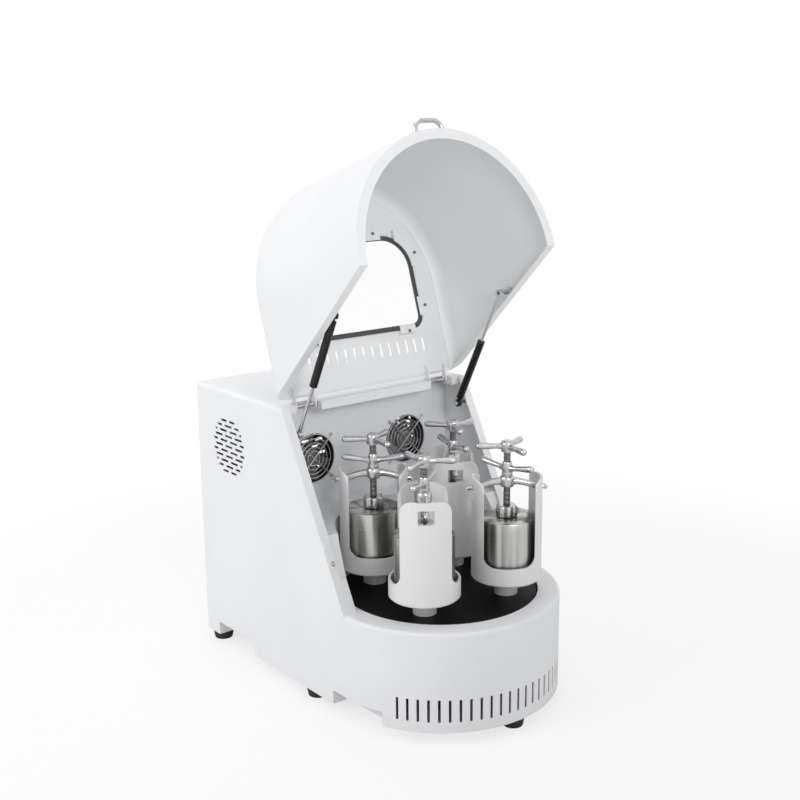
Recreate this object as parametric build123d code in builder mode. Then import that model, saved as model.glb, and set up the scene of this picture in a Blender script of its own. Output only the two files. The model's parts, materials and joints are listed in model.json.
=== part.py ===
"""Planetary ball mill: a sheet metal cabinet with a gas strut hood, open.

Millimetres, +Z up, front towards -Y. The origin is on the ground below the
middle of the bounding box. The hood is drawn open, as it stands at rest.
"""
import os
from math import atan2, cos, degrees, hypot, radians, sin

from build123d import *

os.makedirs("parts", exist_ok=True)

# ---------------------------------------------------------------- sizes
# cabinet
cabinet_width = 470.0
cabinet_length = 744.6
foot_height = 20.0
drum_height = 194.0
cabinet_height = 554.5
slope_run = 189.0
sheet = 2.0
edge_round = 9.0
# chamber
tub_radius = 204.0
ring_opening_radius = 193.0
back_wall_from_drum = 252.3
shelf_height = 325.0
flange_width = 19.0
low_flange_width = 30.0
low_flange_height = 57.0
# hood
hood_gap = 1.5
hood_round = 28.0
hood_opening_deg = 107.66
hinge_setback = 15.3
hinge_drop = 6.6
pin_radius = 4.0
running_gap = 0.05
# planets
carrier_radius = 190.0
carrier_thick = 12.0
carrier_below_ring = 3.0
gear_module = 4.0
planet_teeth = 22
sun_teeth = 44
carrier_turn_deg = 37.25
holder_turn_deg = 16.0
# holders and jars
holder_radius = 67.7
holder_wall = 4.5
holder_height = 200.5
holder_clearance = 34.5
holder_rim = 36.0
window_cut = 97.0
jar_radius = 57.0
jar_wall = 6.0
jar_height = 88.0
jar_lid_height = 29.5
hook_width = 30.0
hook_height = 27.0
hook_top_inset = 14.5
# clamp
screw_radius = 7.0
arm_reach = 60.0
arm_radius = 5.2
foot_lift = 22.0

# ---------------------------------------------------------------- places
half_width = cabinet_width / 2
drum_y = half_width - cabinet_length / 2
rear_y = cabinet_length / 2
skirt_z = foot_height
ring_z = skirt_z + drum_height
top_z = skirt_z + cabinet_height
slope_rise = top_z - ring_z
slope_top_y = drum_y + slope_run
slope_len = hypot(slope_run, slope_rise)
slope_deg = degrees(atan2(slope_rise, slope_run))
hinge_y = slope_top_y + hinge_setback
hinge_z = top_z - hinge_drop
back_wall_y = drum_y + back_wall_from_drum
shelf_z = skirt_z + shelf_height
inner_half = half_width - sheet
planet_pitch_radius = gear_module * planet_teeth / 2
sun_pitch_radius = gear_module * sun_teeth / 2
station_radius = planet_pitch_radius + sun_pitch_radius
carrier_top = ring_z - carrier_below_ring
carrier_low = carrier_top - carrier_thick
holder_z = carrier_top + holder_clearance
station_names = ["rear_right", "rear_left", "front_left", "front_right"]


def save(piece, name):
    """Label a finished sub-part and write it to its own file."""
    piece.part.label = name
    export_step(piece.part, f"parts/{name}.step")


def slope_y(z):
    """Y of the sloping mouth of the cabinet at a height."""
    return drum_y + (z - ring_z) * slope_run / slope_rise


def upright(x, y, angle):
    """Vertical plane through (x, y), drawn along the heading angle."""
    heading = (cos(radians(angle)), sin(radians(angle)), 0)
    normal = (sin(radians(angle)), -cos(radians(angle)), 0)
    return Plane(origin=(x, y, 0), x_dir=heading, z_dir=normal)


def level(x, y, z, angle=0.0):
    """Horizontal plane at a point, turned about Z."""
    heading = (cos(radians(angle)), sin(radians(angle)), 0)
    return Plane(origin=(x, y, z), x_dir=heading, z_dir=(0, 0, 1))


side_plane = Plane(origin=(0, 0, 0), x_dir=(0, 1, 0), z_dir=(1, 0, 0))

# ================================================================ cabinet
# Feet: four at the sides and one under the nose.
foot_top_radius = 23.0
foot_low_radius = 19.0
foot_inset = 24.5
foot_spots = [
    (half_width - foot_inset, rear_y - foot_inset + 1.4),
    (foot_inset - half_width, rear_y - foot_inset + 1.4),
    (half_width - foot_inset, drum_y + 125.0),
    (foot_inset - half_width, drum_y + 125.0),
    (0.0, drum_y - half_width + foot_inset),
]
with BuildPart() as rubber_feet:
    with BuildSketch(Plane.XY):
        with Locations(foot_spots):
            Circle(foot_low_radius)
    foot_flare = degrees(atan2(foot_top_radius - foot_low_radius, foot_height))
    extrude(amount=foot_height, taper=-foot_flare)
save(rubber_feet, "rubber_feet")

# Kick recesses: four low pockets let into the skirt, for lifting the mill.
recess_height = 29.0
recess_depth = 37.0
rear_recess = (drum_y + 319.0, drum_y + 460.0)
front_recess = (drum_y - 90.7, drum_y + 38.6)


def recess_blocks(grow, outward):
    """Boxes that fill the four recesses, grown by a wall and run outward."""
    inner = half_width - recess_depth - grow
    outer = half_width + outward
    with BuildPart() as blocks:
        for low, high in (rear_recess, front_recess):
            for side in (-1, 1):
                with BuildSketch(Plane.XY.offset(skirt_z)):
                    with Locations((side * (inner + outer) / 2, (low + high) / 2)):
                        Rectangle(outer - inner, high - low + 2 * grow)
                extrude(amount=recess_height + grow)
    return blocks.part


# Base pan: the floor of the cabinet, folded up round the kick recesses.
pan_margin = sheet + 0.5
recess_cut = recess_blocks(0, sheet)
recess_walls = recess_blocks(sheet, 0)
with BuildPart() as pan_outline:
    with BuildSketch(Plane.XY.offset(skirt_z)):
        with Locations((0, (drum_y + rear_y - pan_margin) / 2)):
            Rectangle(cabinet_width - 2 * pan_margin, rear_y - pan_margin - drum_y)
        with Locations((0, drum_y)):
            Circle(half_width - pan_margin)
    extrude(amount=recess_height + sheet)
pan_walls = pan_outline.part & recess_walls
with BuildPart() as base_pan:
    add(pan_outline.part)
    with BuildSketch(Plane.XY.offset(skirt_z + sheet)):
        Rectangle(2 * cabinet_width, 2 * cabinet_length)
    extrude(amount=cabinet_height, mode=Mode.SUBTRACT)
    add(pan_walls)
    add(recess_cut, mode=Mode.SUBTRACT)
save(base_pan, "base_pan")

# Cabinet shell: sides and top in one folded sheet, open to the rear and the drum.
cabinet_profile = [
    (drum_y, skirt_z),
    (rear_y, skirt_z),
    (rear_y, top_z),
    (slope_top_y, top_z),
    (drum_y, ring_z),
]
lip_height = 17.0
lip_half = 140.0
hinge_slot_half = 197.0
hinge_slot_depth = 27.0
lug_thick = 7.0
lug_drop = 15.0
lug_length = 24.0
fan_vent_y = drum_y + 389.0
fan_vent_z = skirt_z + 437.0
vent_radius = 60.0
vent_row_pitch = 10.8
vent_rows = 5
vent_slot = (28.0, 5.0)
vent_pitch = 37.6
panel_centre_y = drum_y + 372.0
panel_centre_z = skirt_z + 255.0
panel_width = 150.0
panel_height = 200.0
with BuildPart() as cabinet_shell:
    with BuildSketch(side_plane.offset(-half_width)):
        with BuildLine():
            Polyline(*cabinet_profile, close=True)
        make_face()
    extrude(amount=cabinet_width)
    top_edges = cabinet_shell.edges().filter_by(Axis.Y).group_by(Axis.Z)[-1]
    fillet(top_edges, radius=edge_round)
    # hollow, with the sloping mouth left as a skin
    with BuildSketch(side_plane.offset(-inner_half)):
        with BuildLine():
            Polyline(
                (drum_y - 1, skirt_z - 1),
                (rear_y + 1, skirt_z - 1),
                (rear_y + 1, top_z - sheet),
                (slope_top_y + sheet, top_z - sheet),
                (slope_top_y + sheet, top_z - sheet - 1),
                (slope_y(ring_z) + sheet * slope_len / slope_rise, ring_z),
                (drum_y - 1, ring_z),
                close=True,
            )
        make_face()
    extrude(amount=2 * inner_half, mode=Mode.SUBTRACT)
    # the mouth, inside flanges that are wider beside the tub, and the lip folded down behind it
    mouth_half = half_width - flange_width
    low_mouth_half = half_width - low_flange_width
    mouth_step_z = ring_z + low_flange_height
    for half, low, high in (
        (mouth_half, mouth_step_z, top_z - sheet),
        (low_mouth_half, ring_z - 10, mouth_step_z),
    ):
        with BuildSketch(side_plane.offset(-half)):
            with Locations((drum_y + slope_run / 2 - 2, (low + high) / 2)):
                Rectangle(slope_run + 10, high - low)
        extrude(amount=2 * half, mode=Mode.SUBTRACT)
    with BuildSketch(Plane.XY.offset(top_z - sheet)):
        with Locations((0, slope_top_y + sheet / 2)):
            Rectangle(2 * mouth_half, sheet)
    extrude(amount=sheet - lip_height)
    for side in (-1, 1):
        gap_middle = side * (lip_half + hinge_slot_half) / 2
        with BuildSketch(Plane.XY.offset(top_z - lip_height - 1)):
            with Locations((gap_middle, slope_top_y + hinge_slot_depth / 2 - 1)):
                Rectangle(hinge_slot_half - lip_half, hinge_slot_depth + 2)
        extrude(amount=lip_height + 2, mode=Mode.SUBTRACT)
    # hinge lugs welded under the top, one each side of both gaps
    lug_spots = [
        (side * (edge + away * lug_thick / 2), hinge_y)
        for side in (-1, 1)
        for edge, away in ((lip_half, -1), (hinge_slot_half, 1))
    ]
    with BuildSketch(Plane.XY.offset(top_z - sheet)):
        with Locations(lug_spots):
            Rectangle(lug_thick, lug_length)
    extrude(amount=-lug_drop)
    lug_reach = hinge_slot_half + lug_thick
    with BuildSketch(side_plane.offset(-lug_reach)):
        with Locations((hinge_y, hinge_z)):
            Circle(pin_radius)
    extrude(amount=2 * lug_reach, mode=Mode.SUBTRACT)
    # kick recesses and cooling slots in both sides, window for the control panel
    add(recess_cut, mode=Mode.SUBTRACT)
    with BuildSketch(side_plane.offset(-half_width - 1)):
        for row in range(-vent_rows, vent_rows + 1):
            row_half = (vent_radius**2 - (row * vent_row_pitch) ** 2) ** 0.5
            shift = vent_pitch / 2 if row % 2 else 0
            for column in (-2, -1, 0, 1, 2):
                slot_low = max(column * vent_pitch + shift - vent_slot[0] / 2, -row_half)
                slot_high = min(column * vent_pitch + shift + vent_slot[0] / 2, row_half)
                slot_y = fan_vent_y + (slot_low + slot_high) / 2
                if slot_high - slot_low > vent_slot[1]:
                    with Locations((slot_y, fan_vent_z + row * vent_row_pitch)):
                        Rectangle(slot_high - slot_low, vent_slot[1])
    extrude(amount=cabinet_width + 2, mode=Mode.SUBTRACT)
    with BuildSketch(side_plane.offset(inner_half - 1)):
        with Locations((panel_centre_y, panel_centre_z)):
            Rectangle(panel_width, panel_height)
    extrude(amount=sheet + 2, mode=Mode.SUBTRACT)
save(cabinet_shell, "cabinet_shell")

# Drum shell: the round nose, with a flat ring on top and cooling slots below.
drum_round = 8.0
nose_slot_count = 26
nose_slot_pitch_deg = 4.8
nose_slot_width = 5.0
nose_slot_low = 21.0
nose_slot_high = 65.0
with BuildPart() as drum_shell:
    with BuildSketch(upright(0, drum_y, 0)):
        with BuildLine():
            Polyline(
                (-half_width, skirt_z),
                (-half_width, ring_z - drum_round),
            )
            RadiusArc((-half_width, ring_z - drum_round), (drum_round - half_width, ring_z), drum_round)
            Polyline(
                (drum_round - half_width, ring_z),
                (-ring_opening_radius, ring_z),
                (-ring_opening_radius, ring_z - sheet),
                (drum_round - half_width, ring_z - sheet),
            )
            RadiusArc(
                (drum_round - half_width, ring_z - sheet),
                (-inner_half, ring_z - drum_round),
                sheet - drum_round,
            )
            Polyline(
                (-inner_half, ring_z - drum_round),
                (-inner_half, skirt_z),
                (-half_width, skirt_z),
            )
        make_face()
    revolve(axis=Axis((0, drum_y, 0), (0, 0, 1)), revolution_arc=180)
    add(recess_cut, mode=Mode.SUBTRACT)
    slot_middle_z = skirt_z + (nose_slot_low + nose_slot_high) / 2
    for index in range(nose_slot_count):
        heading = (index - (nose_slot_count - 1) / 2) * nose_slot_pitch_deg - 90
        with BuildSketch(upright(0, drum_y, heading + 90)):
            with Locations((0, slot_middle_z)):
                Rectangle(nose_slot_width, nose_slot_high - nose_slot_low)
        extrude(amount=half_width + 1, mode=Mode.SUBTRACT)
save(drum_shell, "drum_shell")

# Rear panel: closes the back, with louvre slots and openings for the inlet.
rear_panel_inset = 12.0
rear_panel_y = rear_y - rear_panel_inset
louvre_count = 9
inlet_x = 120.0
inlet_z = 90.0
inlet_width = 50.0
inlet_height = 64.0
with BuildPart() as rear_panel:
    with BuildSketch(upright(0, rear_panel_y, 0)) as rear_outline:
        with Locations((0, (skirt_z + sheet + top_z - sheet) / 2)):
            Rectangle(2 * inner_half - 1, top_z - skirt_z - 2 * sheet - 1)
            fillet(rear_outline.vertices().group_by(Axis.Z)[-1], radius=edge_round - sheet + 1)
        with Locations((0, top_z - 190)):
            with GridLocations(0, 16, 1, louvre_count):
                SlotOverall(180, 6, mode=Mode.SUBTRACT)
        with Locations((inlet_x, inlet_z)):
            Rectangle(inlet_width, inlet_height, mode=Mode.SUBTRACT)
    extrude(amount=sheet)
save(rear_panel, "rear_panel")

# Chamber liner: back wall with fan openings, a shelf and the round tub.
fan_x = 120.0
fan_z = skirt_z + 421.0
fan_opening_radius = 52.0
liner_top = top_z - sheet - 0.5
liner_half = inner_half - 0.5
shelf_front = slope_y(shelf_z) + 8
tub_setback = 3 * sheet
closing_thick = 1.1 * sheet
with BuildPart() as closing_strips:
    with BuildSketch(side_plane.offset(-liner_half)):
        with BuildLine():
            Polyline(
                (slope_y(ring_z - sheet) + tub_setback, ring_z - sheet),
                (slope_y(ring_z - sheet) + tub_setback + closing_thick, ring_z - sheet),
                (slope_y(shelf_z) + tub_setback + closing_thick, shelf_z),
                (slope_y(shelf_z) + tub_setback, shelf_z),
                close=True,
            )
        make_face()
    extrude(amount=2 * liner_half)
    with BuildSketch(Plane.XY.offset(skirt_z)):
        with Locations((0, drum_y)):
            Circle(tub_radius)
    extrude(amount=cabinet_height, mode=Mode.SUBTRACT)
with BuildPart() as chamber_liner:
    with BuildSketch(upright(0, back_wall_y, 0)) as wall_outline:
        with Locations((0, (shelf_z + liner_top) / 2)):
            Rectangle(2 * liner_half, liner_top - shelf_z)
        fillet(wall_outline.vertices().group_by(Axis.Z)[-1], radius=edge_round)
        with Locations((-fan_x, fan_z), (fan_x, fan_z)):
            Circle(fan_opening_radius, mode=Mode.SUBTRACT)
    extrude(amount=-sheet)
    with BuildSketch(Plane.XY.offset(shelf_z)):
        with Locations((0, (shelf_front + back_wall_y + sheet) / 2)):
            Rectangle(2 * liner_half, back_wall_y + sheet - shelf_front)
        with Locations((0, drum_y)):
            Circle(tub_radius, mode=Mode.SUBTRACT)
    extrude(amount=-sheet)
    # the tub, cut off below the sloping mouth
    with BuildSketch(Plane.XY.offset(ring_z - sheet)):
        with Locations((0, drum_y)):
            Circle(tub_radius + sheet)
            Circle(tub_radius, mode=Mode.SUBTRACT)
        with Locations((0, drum_y - cabinet_width / 2)):
            Rectangle(cabinet_width, cabinet_width, mode=Mode.SUBTRACT)
    extrude(amount=shelf_z - ring_z)
    with BuildSketch(side_plane.offset(-cabinet_width)):
        with BuildLine():
            Polyline(
                (slope_y(ring_z - 60) + tub_setback, ring_z - 60),
                (slope_y(top_z) + tub_setback, top_z),
                (drum_y - 60, top_z),
                (drum_y - 60, ring_z - 60),
                close=True,
            )
        make_face()
    extrude(amount=2 * cabinet_width, mode=Mode.SUBTRACT)
    # deck strips beside the tub
    with BuildSketch(Plane.XY.offset(ring_z)):
        with Locations((0, drum_y + cabinet_width / 4)):
            Rectangle(2 * liner_half, cabinet_width / 2)
        with Locations((0, drum_y)):
            Circle(ring_opening_radius, mode=Mode.SUBTRACT)
    extrude(amount=-sheet)
    # slanted strips that close the gap between the tub and the flanges
    add(closing_strips.part)
save(chamber_liner, "chamber_liner")

# ================================================================ fans
# Housings behind the back wall and the left side, wire guards in the chamber.
fan_size = 120.0
fan_depth = 38.0
fan_bore = 57.0
fan_hub_radius = 20.0
fan_blades = 7
blade_thick = 2.0
blade_pitch_deg = 35.0
spider_thick = 5.0
spindle_radius = 3.0
side_fan_x = -inner_half


def fan_housing(plane):
    """Square fan frame with a bore, a rear spider and a fixed spindle."""
    with BuildPart() as housing:
        with BuildSketch(plane) as frame:
            Rectangle(fan_size, fan_size)
            fillet(frame.vertices(), radius=6)
            Circle(fan_bore, mode=Mode.SUBTRACT)
        extrude(amount=fan_depth)
        with BuildSketch(plane.offset(fan_depth - spider_thick)):
            Circle(fan_hub_radius)
            for turn in (45, 135):
                with Locations(Location((0, 0), turn)):
                    Rectangle(2 * fan_bore + 2, 6)
        extrude(amount=spider_thick)
        with BuildSketch(plane.offset(8)):
            Circle(spindle_radius)
        extrude(amount=fan_depth - spider_thick - 8)
    return housing.part


def fan_rotor(plane):
    """Hub cap with pitched blades, bored for the spindle."""
    rotor_depth = fan_depth - spider_thick - 8
    with BuildPart() as rotor:
        with BuildSketch(plane.offset(4)):
            Circle(fan_hub_radius)
        extrude(amount=rotor_depth)
        for blade in range(fan_blades):
            turn = 360 / fan_blades * blade
            middle = plane * Location((0, 0, 4 + rotor_depth / 2))
            root = middle * Location((0, 0, 0), (0, 0, turn))
            blade_plane = Plane(root * Location((fan_hub_radius - 3, 0, 0), (0, 90, 0)))
            with BuildSketch(blade_plane):
                Rectangle(blade_thick, 24, rotation=blade_pitch_deg)
            extrude(amount=fan_bore - fan_hub_radius)
        with BuildSketch(plane.offset(6)):
            Circle(spindle_radius + running_gap)
        extrude(amount=rotor_depth, mode=Mode.SUBTRACT)
    return rotor.part


wall_back = back_wall_y + sheet
fan_planes = {
    "fan_rotor_left": Plane(origin=(-fan_x, wall_back, fan_z), x_dir=(-1, 0, 0), z_dir=(0, 1, 0)),
    "fan_rotor_right": Plane(origin=(fan_x, wall_back, fan_z), x_dir=(-1, 0, 0), z_dir=(0, 1, 0)),
    "side_fan_rotor": Plane(origin=(side_fan_x, fan_vent_y, fan_vent_z), x_dir=(0, 1, 0), z_dir=(1, 0, 0)),
}
with BuildPart() as fan_housings:
    for fan_plane in fan_planes.values():
        add(fan_housing(fan_plane))
save(fan_housings, "fan_housings")
for rotor_name, fan_plane in fan_planes.items():
    with BuildPart() as rotor_build:
        add(fan_rotor(fan_plane))
    save(rotor_build, rotor_name)

# Wire guards: concentric rings carried by a cross of straight wires.
guard_radius = 49.0
guard_rings = 4
guard_ring_pitch = 10.5
guard_wire = 1.8
guard_stand_off = 4.0
guard_screw_square = 88.0
guard_sides = 28
with BuildPart() as fan_guards:
    for guard_x in (-fan_x, fan_x):
        guard_face = upright(guard_x, back_wall_y - guard_stand_off, 0)
        with BuildSketch(guard_face):
            with Locations((0, fan_z)):
                for ring in range(guard_rings):
                    ring_radius = guard_radius - ring * guard_ring_pitch
                    RegularPolygon(ring_radius, guard_sides)
                    RegularPolygon(ring_radius - guard_wire, guard_sides, mode=Mode.SUBTRACT)
            with Locations((0, fan_z)):
                for turn in (45, 135):
                    Rectangle(guard_screw_square * 2**0.5 + 6, guard_wire, rotation=turn)
        extrude(amount=-guard_wire)
        with BuildSketch(guard_face):
            with Locations((0, fan_z)):
                with GridLocations(guard_screw_square, guard_screw_square, 2, 2):
                    Circle(3.5)
        extrude(amount=-guard_stand_off)
save(fan_guards, "fan_guards")

# ================================================================ drive
# Main frame: a plate on posts that carries the bearing housing and the motor.
frame_plate_z = skirt_z + 90.0
frame_plate_thick = 12.0
frame_plate_radius = 165.0
post_radius = 12.0
post_spots = [(125.0, 75.0), (-125.0, 75.0), (125.0, -75.0), (-125.0, -75.0)]
motor_from_drum = 337.3
motor_post_half = 85.0
motor_mount_half = 100.0
motor_radius = 65.0
motor_height = 190.0
motor_shaft_radius = 12.0
motor_shaft_entry = 60.0
main_shaft_radius = 20.0
housing_spigot_radius = 35.0
motor_y = drum_y + motor_from_drum
frame_top = frame_plate_z + frame_plate_thick
floor_z = skirt_z + sheet
with BuildPart() as main_frame:
    with BuildSketch(Plane.XY.offset(frame_plate_z)):
        with Locations((0, drum_y)):
            Circle(frame_plate_radius)
        with Locations((0, (drum_y + motor_y + motor_mount_half) / 2)):
            Rectangle(2 * motor_mount_half, motor_y + motor_mount_half - drum_y)
        with Locations((0, drum_y)):
            Circle(housing_spigot_radius, mode=Mode.SUBTRACT)
        with Locations((0, motor_y)):
            Circle(motor_shaft_radius + 8, mode=Mode.SUBTRACT)
    extrude(amount=frame_plate_thick)
    with BuildSketch(Plane.XY.offset(floor_z)):
        with Locations(*[(x, drum_y + y) for x, y in post_spots]):
            Circle(post_radius)
        with Locations(*[(x, motor_y + motor_post_half) for x in (-motor_post_half, motor_post_half)]):
            Circle(post_radius)
    extrude(amount=frame_plate_z - floor_z)
save(main_frame, "main_frame")

# Sun gear: fixed on the bearing housing, the planets roll round it.
gear_z = frame_top + 28.0
gear_face = 22.0
flange_radius = 60.0
column_radius = 42.0


def gear_outline(teeth, tooth_at):
    """Outline points of a spur gear with straight flanks."""
    pitch_radius = gear_module * teeth / 2
    tip = pitch_radius + gear_module * 0.95
    root = pitch_radius - gear_module * 1.25
    step = 360 / teeth
    points = []
    for tooth in range(teeth):
        middle = tooth_at + tooth * step
        for radius, share in ((root, -0.36), (tip, -0.11), (tip, 0.11), (root, 0.36)):
            turn = radians(middle + share * step)
            points.append((radius * cos(turn), radius * sin(turn)))
    return points


with BuildPart() as sun_gear:
    with BuildSketch(level(0, drum_y, gear_z, carrier_turn_deg)):
        with BuildLine():
            Polyline(*gear_outline(sun_teeth, 180 / sun_teeth), close=True)
        make_face()
    extrude(amount=gear_face)
    with BuildSketch(level(0, drum_y, frame_top)):
        Circle(column_radius)
    extrude(amount=gear_z - frame_top)
    with BuildSketch(level(0, drum_y, frame_top)):
        Circle(flange_radius)
        with PolarLocations(flange_radius - 9, 6):
            Circle(3.5, mode=Mode.SUBTRACT)
    extrude(amount=10)
    with BuildSketch(level(0, drum_y, frame_plate_z - 12)):
        Circle(housing_spigot_radius)
    extrude(amount=12 + frame_plate_thick)
    with BuildSketch(level(0, drum_y, frame_plate_z - 12)):
        Circle(main_shaft_radius + running_gap)
    extrude(amount=cabinet_height, mode=Mode.SUBTRACT)
save(sun_gear, "sun_gear")

# Pulleys, shaft and belt.
big_pulley_radius = 100.0
small_pulley_radius = 40.0
belt_width = 16.0
belt_thick = 8.0
belt_gap = 0.3
pulley_z = skirt_z + 30.0
pulley_rim = 4.0
pulley_height = belt_width + 2 * pulley_rim
hub_flange_radius = 50.0
hub_flange_thick = 14.0
belt_low = pulley_z + pulley_rim


def pulley_profile(radius, bore):
    """Half section of a grooved pulley with two rims."""
    groove = radius - belt_thick
    return [
        (bore, pulley_z),
        (radius, pulley_z),
        (radius, belt_low),
        (groove, belt_low),
        (groove, belt_low + belt_width),
        (radius, belt_low + belt_width),
        (radius, pulley_z + pulley_height),
        (bore, pulley_z + pulley_height),
    ]


shaft_top = carrier_low - hub_flange_thick + 10
with BuildPart() as main_shaft:
    with BuildSketch(upright(0, drum_y, 0)):
        with BuildLine():
            Polyline(*pulley_profile(big_pulley_radius, 0), close=True)
        make_face()
    revolve(axis=Axis((0, drum_y, 0), (0, 0, 1)))
    with BuildSketch(level(0, drum_y, pulley_z)):
        Circle(main_shaft_radius)
    extrude(amount=shaft_top - pulley_z)
save(main_shaft, "main_shaft")

with BuildPart() as motor_pulley:
    with BuildSketch(upright(0, motor_y, 0)):
        with BuildLine():
            Polyline(*pulley_profile(small_pulley_radius, 0), close=True)
        make_face()
    revolve(axis=Axis((0, motor_y, 0), (0, 0, 1)))
    with BuildSketch(level(0, motor_y, pulley_z)):
        Circle(motor_shaft_radius)
    extrude(amount=frame_top + motor_shaft_entry - pulley_z)
save(motor_pulley, "motor_pulley")

belt_inner_big = big_pulley_radius - belt_thick + belt_gap
belt_inner_small = small_pulley_radius - belt_thick + belt_gap


def belt_loop(offset):
    """Outline of a belt run round both pulleys."""
    big = belt_inner_big + offset
    small = belt_inner_small + offset
    lean = (big - small) / motor_from_drum
    side = (1 - lean * lean) ** 0.5
    big_right = (big * side, drum_y + big * lean)
    big_left = (-big * side, drum_y + big * lean)
    small_right = (small * side, motor_y + small * lean)
    small_left = (-small * side, motor_y + small * lean)
    ThreePointArc(big_left, (0, drum_y - big), big_right)
    Line(big_right, small_right)
    ThreePointArc(small_right, (0, motor_y + small), small_left)
    Line(small_left, big_left)


with BuildPart() as drive_belt:
    with BuildSketch(Plane.XY.offset(belt_low + belt_gap)):
        with BuildLine():
            belt_loop(belt_thick - belt_gap)
        make_face()
        with BuildLine():
            belt_loop(0)
        make_face(mode=Mode.SUBTRACT)
    extrude(amount=belt_width - 2 * belt_gap)
save(drive_belt, "drive_belt")

# Motor: stands on the plate with its shaft down, finned barrel and end cap.
motor_fins = 24
motor_fin_depth = 10.0
motor_fin_thick = 3.0
motor_foot_thick = 14.0
motor_foot_width = 123.5
motor_cap_height = 40.0
terminal_box = (44.0, 70.0, 60.0)
motor_cap_z = frame_top + motor_height - motor_cap_height
with BuildPart() as motor:
    with BuildSketch(level(0, motor_y, frame_top)):
        Rectangle(motor_foot_width, motor_foot_width)
    extrude(amount=motor_foot_thick)
    with BuildSketch(level(0, motor_y, frame_top + motor_foot_thick)):
        Circle(motor_radius - motor_fin_depth / 2 - 1)
        with PolarLocations(motor_radius - motor_fin_depth / 2, motor_fins):
            Rectangle(motor_fin_depth, motor_fin_thick)
    extrude(amount=motor_cap_z - frame_top - motor_foot_thick)
    with BuildSketch(level(0, motor_y, motor_cap_z)):
        Circle(motor_radius)
    extrude(amount=motor_cap_height)
    with Locations((motor_radius, motor_y, frame_top + motor_height / 2)):
        Box(*terminal_box)
    with BuildSketch(level(0, motor_y, frame_top)):
        Circle(motor_shaft_radius + running_gap)
    extrude(amount=motor_shaft_entry + sheet, mode=Mode.SUBTRACT)
save(motor, "motor")

# Turntable: black disc with a hub, and a bearing boss under every station.
planet_shaft_radius = 15.0
boss_radius = 30.0
boss_height = 20.0
stations = []
for index, name in enumerate(station_names):
    turn = carrier_turn_deg + 90 * index
    x = station_radius * cos(radians(turn))
    y = drum_y + station_radius * sin(radians(turn))
    stations.append((name, turn, x, y))
with BuildPart() as turntable:
    with BuildSketch(level(0, drum_y, carrier_low)):
        Circle(carrier_radius)
    extrude(amount=carrier_thick)
    chamfer(turntable.edges().group_by(Axis.Z)[-1], length=1)
    with BuildSketch(Plane.XY.offset(carrier_low)):
        for _, _, x, y in stations:
            with Locations((x, y)):
                Circle(boss_radius)
    extrude(amount=-boss_height)
    with BuildSketch(level(0, drum_y, carrier_low)):
        Circle(hub_flange_radius)
    extrude(amount=-hub_flange_thick)
    with BuildSketch(Plane.XY.offset(carrier_top)):
        for _, _, x, y in stations:
            with Locations((x, y)):
                Circle(planet_shaft_radius + running_gap)
    extrude(amount=-carrier_thick - boss_height, mode=Mode.SUBTRACT)
    with BuildSketch(level(0, drum_y, shaft_top)):
        Circle(main_shaft_radius)
    extrude(amount=-hub_flange_thick, mode=Mode.SUBTRACT)
save(turntable, "turntable")

# ================================================================ stations
collar_radius = 22.5
lift_gap = 0.3
jar_z = holder_z + holder_wall
jar_top_z = jar_z + jar_height + jar_lid_height
hook_top_z = holder_z + holder_height - hook_top_inset
rim_corner = 20.0
ear_corner = 24.0
seal_thick = 2.0
yoke_width = 18.0
yoke_thick = 12.0
yoke_rise = 15.5
yoke_hub_radius = 15.0
yoke_reach = holder_radius + 9.0
hub_radius = 12.5
hub_height = 23.0
upper_arm_z = holder_z + 260.0
nut_radius = 10.5
nut_height = 28.0
nut_arm_rise_deg = 8.0
knob_lobes = 6
knob_radius = 21.5
arm_headings = {"rear_right": 4.0, "rear_left": 24.0, "front_left": 84.0, "front_right": 20.0}
nut_headings = {"rear_right": 77.0, "rear_left": 141.0, "front_left": 30.0, "front_right": 100.0}
yoke_hub_top = hook_top_z + yoke_rise
nut_z = yoke_hub_top + lift_gap


def arm(plane, reach, start, radius):
    """Round bar from near a hub out to its reach, with a softened end."""
    with BuildPart() as bar:
        with BuildSketch(plane.offset(start)):
            Circle(radius)
        extrude(amount=reach - start)
        rims = bar.edges().filter_by(GeomType.CIRCLE)
        chamfer(rims.sort_by_distance(plane.offset(reach).origin)[0], length=radius * 0.4)
    return bar.part


def outward(x, y, z, heading, rise=0.0):
    """Plane at a point whose normal leaves along a heading and a rise."""
    flat = cos(radians(rise))
    normal = (flat * cos(radians(heading)), flat * sin(radians(heading)), sin(radians(rise)))
    return Plane(origin=(x, y, z), z_dir=normal)


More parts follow.
